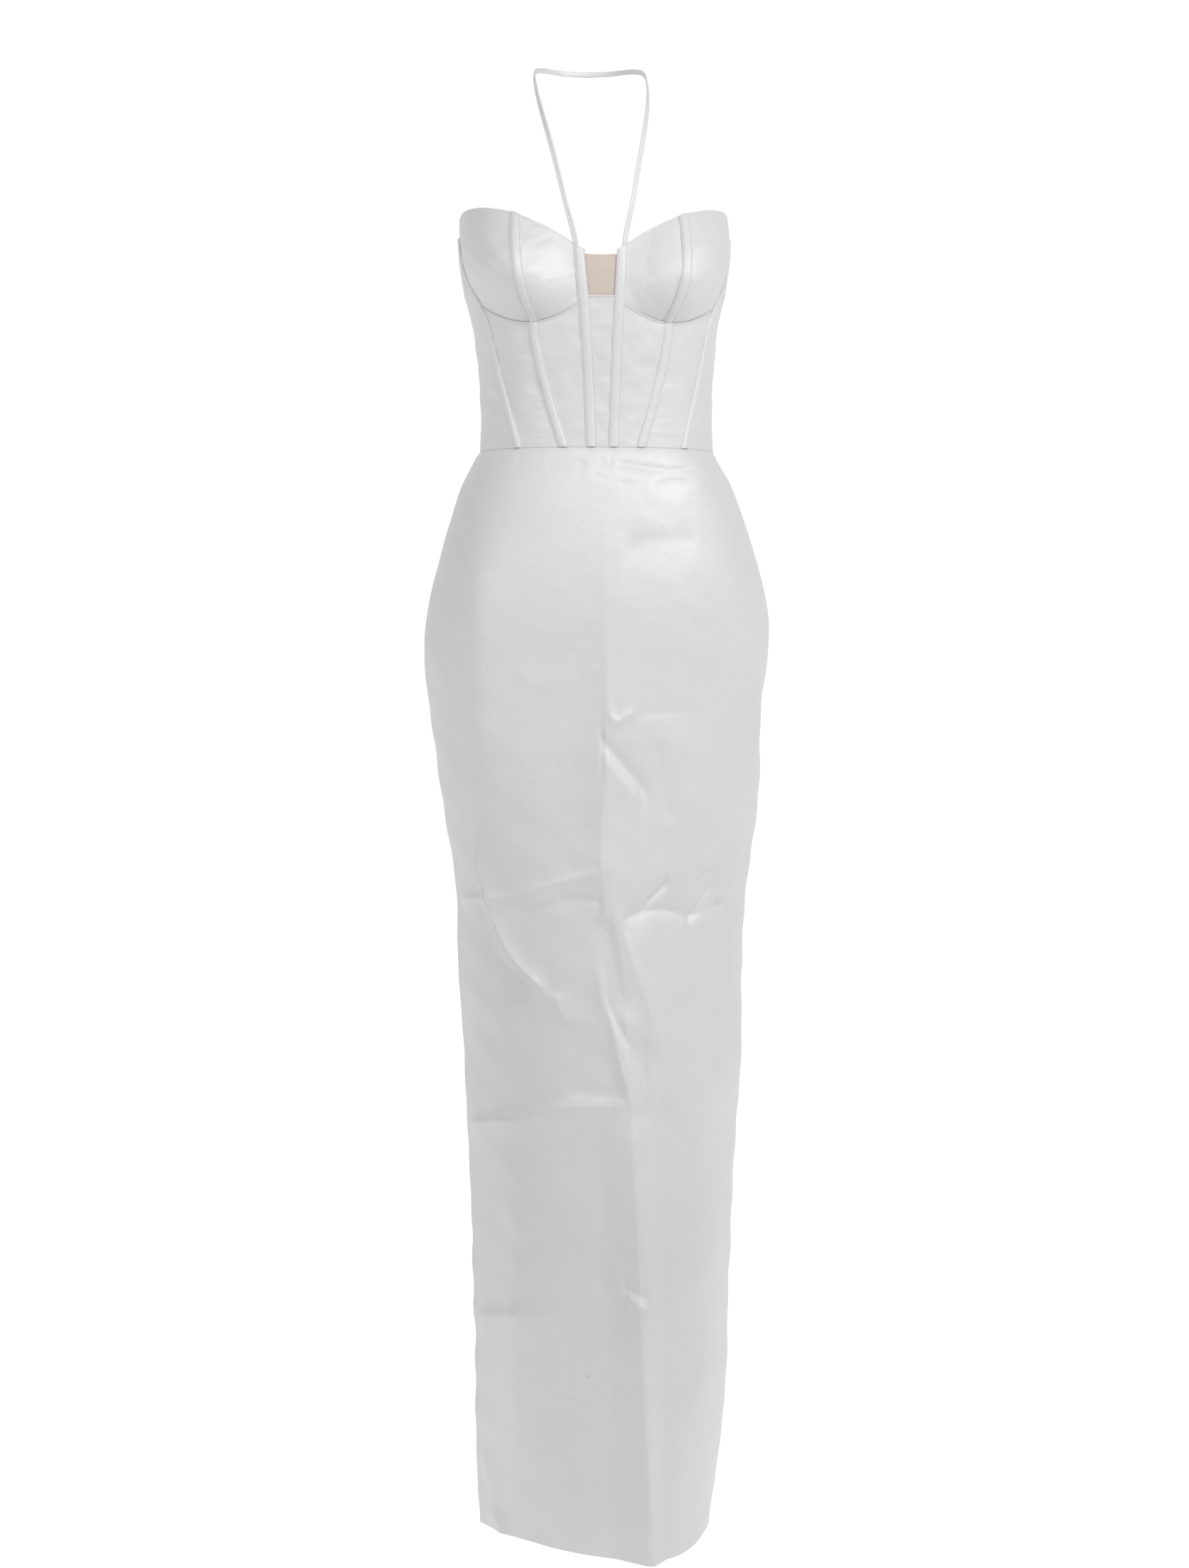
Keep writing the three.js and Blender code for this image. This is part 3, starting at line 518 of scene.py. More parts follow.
def satin(name, marked=False, uneven=0.6):
    """Heavy bridal satin: a soft sheen, fine upright threads and a slight cloudiness."""
    mat, tree = new_material(name, {
        "Metallic": 0.1, "Specular IOR Level": 0.5, "Anisotropic": 0.3, "Sheen Weight": 0.08,
    })
    place = coordinates(tree, "Object")
    cloth = coordinates(tree, "UV")
    cloud = to_range(tree, noise(tree, place, CLOUDS, 4), 0.35, 0.65, 0, 1)
    threads = noise(tree, stretched(tree, cloth, THREADS["scale"]), 1.0, 2)
    weft = noise(tree, stretched(tree, cloth, WEFT["scale"]), 1.0, 2)
    grain = to_range(tree, noise(tree, place, GRAIN, 2, 0.7), 0.35, 0.65, 0, 0.8)
    colour = mix_colour(tree, cloud, SATIN_LIGHT, SATIN_SHADE)
    for amount in (to_range(tree, threads, 0.3, 0.7, 0, 0.1), grain):
        colour = mix_colour(tree, amount, colour, SATIN_SHADE)
    if marked:
        colour = add_marks(tree, place, colour)
    rough = to_range(tree, noise(tree, place, WEAR, 3), 0.3, 0.7, 0.46, 0.55)
    handled = noise(tree, place, HANDLING["scale"], 3)
    normal = bump(tree, handled, HANDLING["depth"], uneven)
    pebbled = noise(tree, place, PEBBLES["scale"], 2, 0.6)
    normal = bump(tree, pebbled, PEBBLES["depth"], uneven, normal)
    normal = bump(tree, threads, THREADS["depth"], 0.8 * uneven, normal)
    normal = bump(tree, weft, WEFT["depth"], 0.7 * uneven, normal)
    return linked(mat, {"Base Color": colour, "Roughness": rough, "Normal": normal})


# The two colours that a material's texture mixes
NET_TONES = ((0.67, 0.57, 0.50, 1), (0.77, 0.68, 0.61, 1))
THREAD_TONES = ((0.84, 0.835, 0.83, 1), (0.70, 0.695, 0.69, 1))
WEBBING_TONES = ((0.68, 0.67, 0.66, 1), (0.80, 0.79, 0.78, 1))
COIL_TONES = ((0.82, 0.82, 0.81, 1), (0.72, 0.72, 0.71, 1))
METAL_TONES = ((0.80, 0.795, 0.785, 1), (0.42, 0.41, 0.4, 1))


def nude_net():
    """Fine skin-coloured power mesh, slightly see-through."""
    mat, tree = new_material("nude_net", {"Roughness": 0.75, "Alpha": 0.86, "Sheen Weight": 0.15})
    holes = {"Vector": coordinates(tree, "UV"), "Scale": 1500.0}
    cells = add_node(tree, "ShaderNodeTexVoronoi", holes, voronoi_dimensions="2D").outputs["Distance"]
    amount = to_range(tree, cells, 0.1, 0.45, 0, 1)
    colour = mix_colour(tree, amount, *NET_TONES)
    return linked(mat, {"Base Color": colour, "Normal": bump(tree, cells, 0.0001, 0.6)})


def thread():
    mat, tree = new_material("sewing_thread", {"Roughness": 0.55, "Sheen Weight": 0.2})
    twist = noise(tree, coordinates(tree, "Object"), 2600, 1)
    colour = mix_colour(tree, twist, *THREAD_TONES)
    return linked(mat, {"Base Color": colour, "Normal": bump(tree, twist, 0.00008, 0.6)})


def zip_webbing():
    """Woven polyester tape with a fine herringbone."""
    mat, tree = new_material("zip_webbing", {"Roughness": 0.82, "Sheen Weight": 0.1})
    turn = {"Vector": coordinates(tree, "UV"), "Rotation": (0, 0, math.radians(38))}
    leaning = add_node(tree, "ShaderNodeMapping", turn).outputs["Vector"]
    ribs = {"Vector": leaning, "Scale": 260.0, "Distortion": 0.6}
    waves = add_node(tree, "ShaderNodeTexWave", ribs).outputs["Fac"]
    colour = mix_colour(tree, waves, *WEBBING_TONES)
    return linked(mat, {"Base Color": colour, "Normal": bump(tree, waves, 0.0002, 0.6)})


def zip_coil_plastic():
    mat, tree = new_material("zip_coil_plastic", {"Roughness": 0.35})
    cloud = noise(tree, coordinates(tree, "Object"), 90, 2)
    return linked(mat, {"Base Color": mix_colour(tree, cloud, *COIL_TONES)})


def lacquered_metal():
    """The slider's and pull's white lacquer over metal, worn a little at its edges."""
    mat, tree = new_material("lacquered_metal", {"Coat Weight": 0.4, "Coat Roughness": 0.15})
    place = coordinates(tree, "Object")
    edge = add_node(tree, "ShaderNodeNewGeometry").outputs["Pointiness"]
    speckle = to_range(tree, noise(tree, place, 1400, 3), 0.4, 0.7, 0, 1)
    bare = multiply(tree, to_range(tree, edge, 0.52, 0.6, 0, 0.5), speckle)
    return linked(mat, {
        "Base Color": mix_colour(tree, bare, *METAL_TONES),
        "Metallic": to_range(tree, bare, 0, 1, 0.05, 0.9),
        "Roughness": to_range(tree, speckle, 0, 1, 0.28, 0.4),
        "Normal": bump(tree, noise(tree, place, 700, 2), 0.00006, 0.4),
    })


SATIN = satin("bodice_satin")
STRAP_SATIN = satin("strap_satin", uneven=0.15)
MARKED_SATIN = satin("skirt_satin", marked=True)
NET = nude_net()
THREAD = thread()
WEBBING = zip_webbing()
COIL = zip_coil_plastic()
METAL = lacquered_metal()


# SEWING: small stitches laid along lines on the cloth

THREAD_LINES = {"topstitching": [], "hem": []}
STITCH_SIDES = 5

# Rings along a stitch: share of its length, thickness, and how far it stands up
STITCH_RINGS = ((-0.5, 0.45, -0.9), (-0.3, 1, 0.2), (0.3, 1, 0.2), (0.5, 0.45, -0.9))


def read_along(at, along, values):
    """Rows of values, read at distances along a line."""
    return np.stack([np.interp(at, along, column) for column in values.T], axis=-1)


def line_inside(points, edge, distance):
    """Points and outward normals that lie a distance in from one edge of a grid."""
    lanes = np.concatenate([points, grid_normals(points)], axis=-1)
    if edge in ("bottom", "top"):
        lanes = lanes.transpose(1, 0, 2)
    if edge in ("to", "top"):
        lanes = lanes[:, ::-1]
    return np.array([read_along(distance, distances(lane[None, :, :3], 1)[0], lane) for lane in lanes])


def tube_faces(first, rings, sides):
    """The faces of a closed tube whose points come ring by ring."""
    faces = []
    last = first + (rings - 1) * sides
    for start in range(first, last, sides):
        for side in range(sides):
            a, b = start + side, start + (side + 1) % sides
            faces.append([a, b, b + sides, a + sides])
    return faces + [list(range(first, first + sides))[::-1], list(range(last, last + sides))]


def stitches(name, lines, pitch=2.7, length=2.1, radius=0.2):
    """One object with every stitch of the given lines."""
    blocks = []
    for line in lines:
        along = distances(line[None, :, :3], 1)[0]
        count = int(along[-1] / pitch)
        if count < 1:
            continue
        at = (np.arange(count) + 0.5) * along[-1] / count
        here, ahead, behind = (read_along(s, along, line) for s in (at, at + 0.4, at - 0.4))
        t = unit(ahead[:, :3] - behind[:, :3])
        n = unit(here[:, 3:] - (here[:, 3:] * t).sum(-1, keepdims=True) * t)
        b = np.cross(t, n)
        points = []
        for share, size, lift in STITCH_RINGS:
            for k in range(STITCH_SIDES):
                turn = 2 * math.pi * k / STITCH_SIDES
                around = n * (math.cos(turn) * size + lift) + b * math.sin(turn) * size
                points.append(here[:, :3] + t * share * length + around * radius)
        blocks.append(np.stack(points, axis=1).reshape(-1, 3))
    verts = np.concatenate(blocks)
    faces = []
    for first in range(0, len(verts), len(STITCH_RINGS) * STITCH_SIDES):
        faces += tube_faces(first, len(STITCH_RINGS), STITCH_SIDES)
    return make_object(name, verts, faces)


# BODICE

SIDES = (("_L", 1), ("_R", -1))
WAIST_LAP = 0.25
SETTLING_ROUNDS = 14
PANEL_STEP_UP, PANEL_STEP_ACROSS = 2.2, 2.0
FLAT_EDGE = 9
SWELL_SIZE, SWELL_RISE = 34, 0.5
CRUMPLE_SIZE, CRUMPLE_RISE = 10, 0.22


def level(value):
    """An edge or a seam that stays at one height or angle."""
    def read(key):
        return np.full(np.shape(key), float(value))

    return read


def shifted(line, by):
    def read(key):
        return line(key) + by

    return read


def patch(start, end, bottom, top, rows, columns):
    """Angles and heights of a grid between two seams and two edges."""
    up, across = np.meshgrid(rows, columns, indexing="ij")
    z = WAIST_Z
    for _ in range(SETTLING_ROUNDS + 1):
        angle = start(z) + (end(z) - start(z)) * across
        z = bottom(angle) + (top(angle) - bottom(angle)) * up
    return angle, z


def add_panel(part, side, sign, surface, outline, edges, size, fullness, seed):
    """A panel of the bodice. edges names the sewing on its four edges, and size is about
    how wide and tall it is."""
    rows, columns = spaced(size[1], PANEL_STEP_UP), spaced(size[0], PANEL_STEP_ACROSS)
    angle, z = patch(*outline, rows, columns)
    base = surface(sign * angle, z)
    d = edge_distances(base)
    relief = fullness * np.sin(math.pi * columns)[None, :] * np.sin(math.pi * rows)[:, None] ** 0.5
    inside = smoothstep(np.min(list(d.values()), axis=0), 0, FLAT_EDGE)
    relief += inside * SWELL_RISE * soft_noise(d["from"], d["bottom"] * 1.3, SWELL_SIZE, seed)
    relief += inside * CRUMPLE_RISE * soft_noise(d["from"] * 0.5, d["bottom"], CRUMPLE_SIZE, seed + 500)
    for number, (edge, kind) in enumerate(edges.items()):
        relief += edge_relief(kind, d[edge])
        if kind in ("rolled", "stitched"):
            along = d["bottom"] if edge in ("from", "to") else d["from"]
            relief += puckers(along, d[edge], 10 * seed + number)
    points = base + torso_normal(surface, sign * angle, z) * relief[..., None]
    if sign < 0:
        points = points[:, ::-1]
        edges = {**edges, "from": edges["to"], "to": edges["from"]}
    free = [edge for edge, kind in edges.items() if kind == "turned"]
    made = shell(f"{part}_satin{side}", points, SATIN_THICK, free)
    piece = finish_piece(made, SATIN, [part + side])
    for edge, kind in edges.items():
        if kind in ("stitched", "turned"):
            THREAD_LINES["topstitching"].append(line_inside(points, edge, STITCH_IN))


def add_centre_front():
    def mirrored(z):
        return -centre_seam(z)

    def free_edge(angle):
        return SHEER_TOP - SHEER_DIP * np.cos(np.radians(angle) * 10)

    edges = {"from": "plain", "to": "plain", "bottom": "overlap", "top": "stitched"}
    outline = (mirrored, centre_seam, level(WAIST_Z - WAIST_LAP), level(SHEER_BOTTOM))
    add_panel("centre_front", "", 1, torso_point, outline, edges, (28, 152), 0.3, 3)
    rows, columns = spaced(42, PANEL_STEP_ACROSS), spaced(30, PANEL_STEP_ACROSS)
    bottom = level(SHEER_BOTTOM - SHEER_LAP)
    angle, z = patch(mirrored, centre_seam, bottom, free_edge, rows, columns)
    base = torso_point(angle, z)
    d = edge_distances(base)
    strain = 0.25 * soft_noise(d["from"], d["bottom"] * 0.3, 9, 21) - SHEER_SINK
    strain += SHEER_HEM * (1 - smoothstep(d["top"], 1.6, 2.2))
    points = base + torso_normal(torso_point, angle, z) * strain[..., None]
    made = shell("sheer_net_inset", points, SHEER_THICK, ["top"])
    piece = finish_piece(made, NET, ["sheer_inset"])


def add_bodice_side(side, sign):
    below = {"from": "plain", "to": "plain", "bottom": "overlap", "top": "stitched"}
    cup = {**below, "top": "turned"}
    behind = {"from": "rolled", "to": "rolled", "bottom": "overlap", "top": "turned"}
    beside = {**behind, "from": "plain"}
    side_seam, back_seam, end = level(SIDE_SEAM), level(BACK_SEAM), level(180)
    waist = level(WAIST_Z - WAIST_LAP)
    table = [
        ("cup_inner", cup_point, (centre_seam, cup_seam, wire_line, neckline), cup, (62, 95), 0),
        ("cup_outer", cup_point, (cup_seam, side_front_seam, wire_line, neckline), cup, (92, 100), 0),
        ("front_panel", torso_point, (centre_seam, mid_seam, waist, wire_line), below, (45, 135), 0.5),
        ("front_side", torso_point, (mid_seam, side_front_seam, waist, wire_line), below, (62, 135), 0.6),
        ("side_panel", torso_point, (side_front_seam, side_seam, waist, back_edge), beside, (85, 215), 0.5),
        ("side_back", torso_point, (side_seam, back_seam, waist, back_edge), behind, (92, 208), 0.6),
        ("centre_back", torso_point, (back_seam, end, waist, back_edge), behind, (88, 206), 0.4),
    ]
    for number, (part, surface, outline, edges, size, fullness) in enumerate(table):
        seed = 31 + 2 * number + (sign < 0)
        add_panel(part, side, sign, surface, outline, edges, size, fullness, seed)


# Boning channels: a strip with a bone in its middle and a line of stitches by each edge

CHANNEL_THICK = 0.7
CHANNEL_STEP = 1.8
CHANNEL_GROOVE = 0.55
CHANNEL_BASE = 0.1
CHANNEL_FLANGE = 0.95
CHANNEL_BONE = 1.15
CHANNEL_STITCH = 0.83
CHANNEL_ACROSS = (
    -1, -0.985, -0.95, -0.91, -0.87, -0.83, -0.79, -0.75, -0.7, -0.6, -0.45, -0.24, 0,
    0.24, 0.45, 0.6, 0.7, 0.75, 0.79, 0.83, 0.87, 0.91, 0.95, 0.985, 1,
)


def channel_height(across):
    a = np.abs(across)
    bone = CHANNEL_BONE * np.clip(1 - (a / 0.78) ** 2.2, 0, 1) ** 0.8
    groove = CHANNEL_GROOVE * ridge(a, CHANNEL_STITCH, 0.05)
    turned = CHANNEL_FLANGE * smoothstep(1 - a, -0.01, 0.05)
    return CHANNEL_BASE + turned - groove + bone


def add_channel(part, side, sign, surface, seam, bottom, top, length, seed):
    across = np.array(CHANNEL_ACROSS)[None, :]
    up = spaced(length, CHANNEL_STEP)[:, None]
    start = bottom(0.0) + (top(0.0) - bottom(0.0)) * up
    start = np.broadcast_to(start, (up.shape[0], across.shape[1]))
    angle = seam(start) + degrees_across(across * CHANNEL_WIDTH / 2, start)
    z = bottom(angle) + (top(angle) - bottom(angle)) * up
    base = surface(sign * angle, z)
    along = distances(base, 0)
    height = channel_height(across) + 0.12 * soft_noise(along, across * 3, 11, seed)
    height += 0.1 * soft_noise(along, across * 2, 4, seed + 1) * (np.abs(across) > 0.7)
    points = base + torso_normal(surface, sign * angle, z) * height[..., None]
    if sign < 0:
        points = points[:, ::-1]
    made = shell(f"boning_{part}{side}", points, CHANNEL_THICK, ["top", "bottom"])
    piece = finish_piece(made, SATIN, [f"channel_{part}{side}"])
    lanes = np.concatenate([points, grid_normals(points)], axis=-1)
    for place in (-CHANNEL_STITCH, CHANNEL_STITCH):
        THREAD_LINES["topstitching"].append(lanes[5:-5, CHANNEL_ACROSS.index(place)])


def front_point(angle, z):
    below = z < wire_line(np.abs(angle))
    return np.where(below[..., None], torso_point(angle, z), cup_point(angle, z))


def add_channels(side, sign):
    waist = level(WAIST_Z + 0.3)
    by_wire = shifted(wire_line, 0.5)
    table = [
        ("centre", torso_point, centre_seam, waist, neckline, 200),
        ("cup", cup_point, cup_seam, by_wire, shifted(neckline, -0.3), 110),
        ("mid", torso_point, mid_seam, waist, by_wire, 130),
        ("side", front_point, side_front_seam, waist, shifted(back_edge, -0.3), 235),
    ]
    seed = 71 if sign > 0 else 87
    for number, row in enumerate(table):
        part, *shape = row
        add_channel(part, side, sign, *shape, seed + 3 * number)


# NECK STRAP: a folded tube of satin, with the fold's line along its face

STRAP_PATH = [
    (24.2, -96.6, -217), (24.8, -95.8, -205), (25.6, -95, -195), (34.6, -91, -156),
    (41.7, -84, -121), (49.3, -72, -85), (54.8, -54, -57), (58, -30, -31), (57, 0, -11),
    (47, 33, -2), (26, 56, 0), (0, 62.9, 0),
]
STRAP_NECK_Y = 5
STRAP_RINGS = 260
STRAP_SWELL, STRAP_SWELL_SIZE = 0.06, 14
STRAP_SECTION = [
    (2.7, 0.0), (2.62, 0.45), (2.3, 0.8), (1.75, 0.95), (1.2, 0.95), (0.75, 0.8), (0.45, 0.42),
    (0.15, 0.72), (-0.5, 0.95), (-1.5, 0.98), (-2.2, 0.85), (-2.6, 0.45), (-2.7, 0.0),
    (-2.55, -0.5), (-1.9, -0.85), (0.0, -0.92), (1.9, -0.85), (2.55, -0.5),
]


def smooth_path(points, steps):
    """Evenly spaced points on a centripetal curve through the given ones."""
    p = np.array(points, dtype=float)
    p = np.vstack([2 * p[0] - p[1], p, 2 * p[-1] - p[-2]])
    fine = []
    for i in range(1, len(p) - 2):
        d0, d1, d2 = (np.linalg.norm(p[k + 1] - p[k]) ** 0.5 for k in (i - 1, i, i + 1))
        m1 = (p[i] - p[i - 1]) / d0 - (p[i + 1] - p[i - 1]) / (d0 + d1) + (p[i + 1] - p[i]) / d1
        m2 = (p[i + 1] - p[i]) / d1 - (p[i + 2] - p[i]) / (d1 + d2) + (p[i + 2] - p[i + 1]) / d2
        t = np.linspace(0, 1, 40, endpoint=False)[:, None]
        h = (2 * t**3 - 3 * t**2 + 1, t**3 - 2 * t**2 + t, 3 * t**2 - 2 * t**3, t**3 - t**2)
        fine.append(h[0] * p[i] + h[1] * m1 * d1 + h[2] * p[i + 1] + h[3] * m2 * d1)
    fine = np.vstack([*fine, p[-2]])
    along = distances(fine[None], 1)[0]
    at = np.linspace(0, along[-1], steps + 1)
    return read_along(at, along, fine)


def rounded_section(section, times):
    """A closed outline with its corners cut off, again and again."""
    for _ in range(times):
        after = np.roll(section, -1, axis=0)
        pair = [0.75 * section + 0.25 * after, 0.25 * section + 0.75 * after]
        section = np.stack(pair, axis=1).reshape(-1, 2)
    return section


def add_strap():
    whole = STRAP_PATH + [(-x, y, z) for x, y, z in STRAP_PATH[-2::-1]]
    placed = [(float(centre_x(z)) + x, BODY_Y + y, z) for x, y, z in whole]
    path = smooth_path(placed, STRAP_RINGS)
    along = unit(np.gradient(path, axis=0))
    z = path[:, 2]
    out = unit(path - np.stack([centre_x(z), 0 * z + BODY_Y + STRAP_NECK_Y, z], axis=-1))
    out = unit(out - (out * along).sum(-1, keepdims=True) * along)
    across = np.cross(along, out)
    far = distances(path[None], 1)[0]
    swell = 1 + STRAP_SWELL * soft_noise(far, 0 * far, STRAP_SWELL_SIZE, 5)
    section = rounded_section(np.array(STRAP_SECTION), 2)
    rings = path[:, None] + across[:, None] * (section[None, :, :1] * swell[:, None, None])
    rings = rings + out[:, None] * section[None, :, 1:]
    faces = [face[::-1] for face in tube_faces(0, *rings.shape[:2])]
    around = distances(np.concatenate([section, section[:1]])[None], 1)[0]
    uv = np.stack(np.broadcast_arrays(around[None, :-1], far[:, None]), axis=-1).reshape(-1, 2) * MM
    piece = make_object("folded_neck_strap", rings.reshape(-1, 3), faces, uv)
    finish_piece(piece, STRAP_SATIN, ["halter_strap"])


# SKIRT

WAIST_TUCK = 0.45
SLIT_TOP = -1120.0
SLIT_HALF_GAP = 15.0
BACK_REACH = 200
HEM_TURN_UP = 60.0
SKIRT_SPREAD = 1.2
SIDE_ROLL, SIDE_PUCKER = 0.25, 0.2
HEM_ALLOWANCE = 0.9
HEM_STITCH_IN = 2.5

# Waves over the whole skirt, and smaller ones that are fuller where it is handled
WAVE_SIZE, WAVE_RISE = 80, 1.1
HANDLED_SIZE, HANDLED_RISE = 34, 0.75
MM_A_TURN = 170
HANDLED_FROM, HANDLED_FULL = 560, 860

# How far the skirt is smooth: below the waist in millimetres, and by its seams in turns
WAIST_FLAT, WAIST_CALM = 10, 40
SIDE_FLAT, BACK_CALM = 0.16, 0.15

# Rows and columns of the skirt's panels, and about how wide the panels are
FRONT_ROWS, FRONT_COLUMNS, FRONT_WIDTH = 368, 176, 430
BACK_ROWS, BACK_COLUMNS, BACK_WIDTH = 260, 96, 230

FRONT, BACK, DOWN, ACROSS = "front", "back", "down", "across"


class Fold:
    """A fold of the skirt, seen from the front or the back. It runs down or across through
    its points, (x, z) from the body's centre, and stands out by rise, or sinks in. It falls
    off over near towards lower x or z and over far towards higher, and crisp rounds its
    crest: 1 is a pressed crease and 10 a soft one. fade is the share of it that fades away
    at its lower x or z end and at the other."""

    def __init__(self, face, run, rise, near, far, crisp, points, fade=(0.2, 0.2)):
        self.face = face
        self.down = run == DOWN
        self.rise = rise
        self.near = near
        self.far = far
        self.crisp = crisp
        self.fade = fade
        rows = [(z, x) for x, z in points] if self.down else points
        self.line = Table("along off", rows)

    def at(self, x, z):
        along, off = (z, x) if self.down else (x, z)
        first, last = self.line.key[0], self.line.key[-1]
        t = (along - first) / (last - first)
        middle = self.line.at("off", along)
        slope = (self.line.at("off", along + 1) - self.line.at("off", along - 1)) / 2
        gap = (off - middle) / np.sqrt(1 + slope**2)
        width = np.where(gap < 0, self.near, self.far)
        fade = smoothstep(t, 0, self.fade[0] + 0.001) * smoothstep(1 - t, 0, self.fade[1] + 0.001)
        away = np.sqrt(gap**2 + self.crisp**2) - self.crisp
        return self.rise * fade * np.exp(-away / width)


# Folds that run down the front: rise, near, far, crisp, points and, for some, fade
FRONT_FOLDS_DOWN = [
    # The pressed front crease, and its shift to the left below the knees
    (10, 20, 50, 1, [
        (2, -430), (2, -566), (2, -677), (-1, -766), (-3, -807), (-2, -843), (3, -905),
    ], (0.16, 0.75)),
    (6.5, 12, 30, 1, [
        (6, -860), (14, -890), (22, -913), (29, -937), (41, -969), (52, -1004), (58, -1058),
    ], (0.25, 0.3)),
    (8, 26, 30, 1, [
        (27, -1060), (29, -1123), (31, -1177), (38, -1234), (42, -1268), (37, -1292), (39, -1347),
        (42, -1404), (42, -1504), (44, -1640),
    ], (0, 0.1)),
    # The valley that runs beside it down to the hem
    (-3, 20, 18, 1.5, [(57, -880), (55, -930), (55, -990), (57, -1060)]),
    (-8, 28, 9, 1.5, [
        (60, -1035), (61, -1084), (62, -1122), (64, -1208), (64, -1380), (66, -1640),
    ], (0, 0.1)),
    # Diagonal folds at the knees
    (7, 6, 26, 1, [
        (-18, -916), (-5, -947), (-1, -964), (8, -995), (16, -1036), (22, -1057), (28, -1090),
    ], (0.15, 0.45)),
    (2.4, 5, 7, 1, [(-38, -998), (-44, -982), (-52, -962)]),
    (-3, 12, 9, 3, [(-2, -880), (4, -905), (14, -950), (26, -995)]),
    # The scoop and the slanting folds above the knees, beside the crease
    (-2.4, 10, 6, 1.5, [(54, -700), (58, -735), (63, -760), (71, -795)]),
    # Long soft bands down the front
    (5.5, 16, 34, 9, [(-120, -460), (-124, -566), (-124, -663), (-120, -800)], (0.35, 0.35)),
    (6, 16, 26, 8, [(-90, -1100), (-84, -1274), (-86, -1394), (-94, -1510)], (0.25, 0.25)),
    (-6, 24, 20, 8, [(-10, -1060), (-2, -1200), (4, -1400), (10, -1640)], (0, 0.2)),
    (5.5, 18, 22, 8, [(100, -950), (100, -1130), (98, -1275), (92, -1460)], (0.25, 0.25)),
    (2.6, 5, 10, 1.5, [(104, -1296), (96, -1361), (86, -1412)], (0.3, 0.3)),
    (4.5, 6, 9, 1, [
        (-127, -1446), (-122, -1469), (-117, -1484), (-113, -1503), (-109, -1526), (-100, -1550),
    ], (0, 0.3)),
]

# Folds that run across the front
FRONT_FOLDS_ACROSS = [
    # Diagonal folds at the knees
    (8, 4.5, 8, 1.2, [
        (-136, -812), (-124, -843), (-116, -870), (-108, -896), (-99, -918), (-88, -935),
        (-74, -949), (-54, -966),
    ], (0.14, 0.2)),
    (-4, 18, 8, 4, [
        (-132, -868), (-120, -906), (-108, -930), (-92, -948), (-66, -970),
    ], (0.25, 0.25)),
    (-5, 5, 12, 1, [(-6, -952), (10, -988), (20, -1007), (31, -1024), (46, -1062)], (0.2, 0.12)),
    # The scoop and the slanting folds above the knees, beside the crease
    (2.6, 3, 5, 1, [(1, -674), (7, -683), (15, -686), (20, -681), (32, -677)]),
    (-4.6, 14, 6, 1, [
        (-6, -698), (5, -713), (18, -728), (29, -740), (38, -751), (44, -759), (54, -785),
    ], (0.06, 0.3)),
    (3, 9, 8, 3, [(-6, -710), (4, -728), (14, -742), (26, -756), (40, -774)]),
    # Creases pressed across the front
    (-1.3, 5, 22, 1, [(22, -679), (42, -677), (72, -676), (98, -677), (134, -677)], (0.2, 0.3)),
    (2.6, 10, 4, 0.8, [
        (-147, -873), (-109, -868), (-85, -864), (-62, -855), (-38, -847), (-3, -838),
    ], (0.05, 0.08)),
    (-3, 12, 5, 0.8, [
        (-100, -880), (-68, -878), (-56, -874), (-42, -868), (-24, -867), (0, -868),
    ], (0.2, 0.05)),
    (-4.2, 14, 7, 0.8, [
        (10, -893), (27, -883), (42, -879), (59, -878), (75, -881), (94, -888),
    ], (0.2, 0.15)),
    (-4, 12, 7, 0.8, [(82, -888), (103, -883), (121, -878), (136, -883), (158, -890)], (0.15, 0.05)),
    (-4.5, 4, 4, 0.8, [(35, -878), (47, -867), (57, -858), (69, -846)]),
    (-4, 5, 5, 0.8, [(85, -890), (98, -875), (108, -864), (118, -853)]),
    (-3.4, 5, 5, 0.8, [(92, -857), (106, -846), (115, -842), (124, -848)]),
    (4.5, 7, 7, 1.2, [(120, -882), (133, -856), (141, -834), (146, -814)]),
    (6.5, 14, 4, 0.8, [
        (-141, -1114), (-109, -1102), (-85, -1096), (-68, -1089), (-52, -1083), (-19, -1077),
        (4, -1077), (28, -1073),
    ], (0.04, 0.08)),
    (5, 16, 4, 0.8, [(-134, -1320), (-101, -1307), (-73, -1300), (-32, -1295)], (0.05, 0.4)),
    (-4.5, 5, 6, 0.8, [(14, -1259), (24, -1265), (32, -1268), (46, -1278)]),
    (4, 5, 5, 0.8, [(18, -1271), (26, -1275), (33, -1280), (46, -1292)]),
    # Small dents just below the waist, and the slack at the hips
    (-2, 9, 4, 1.2, [(6, -420), (36, -424), (61, -427), (76, -427), (106, -424)]),
    (-1.4, 10, 5, 2, [(-60, -422), (-38, -423), (-14, -421)]),
    (-1, 8, 5, 2, [(-94, -422), (-70, -423), (-50, -423)]),
    (-1.2, 3, 4, 0.8, [(-6, -415), (1, -421), (4, -424), (7, -421), (12, -414)]),
    (-0.8, 3, 4, 1, [(-12, -434), (3, -438), (16, -434)]),
    (-0.7, 5, 4, 1.5, [(12, -441), (30, -443), (48, -441)]),
    (-1.1, 5, 4, 1.2, [(48, -442), (62, -436), (70, -434), (94, -435)]),
    (-2.2, 20, 12, 5, [(14, -534), (26, -512), (40, -503), (60, -501), (102, -499)]),
    (1, 12, 8, 3, [(-94, -640), (-55, -643), (-24, -641)]),
]

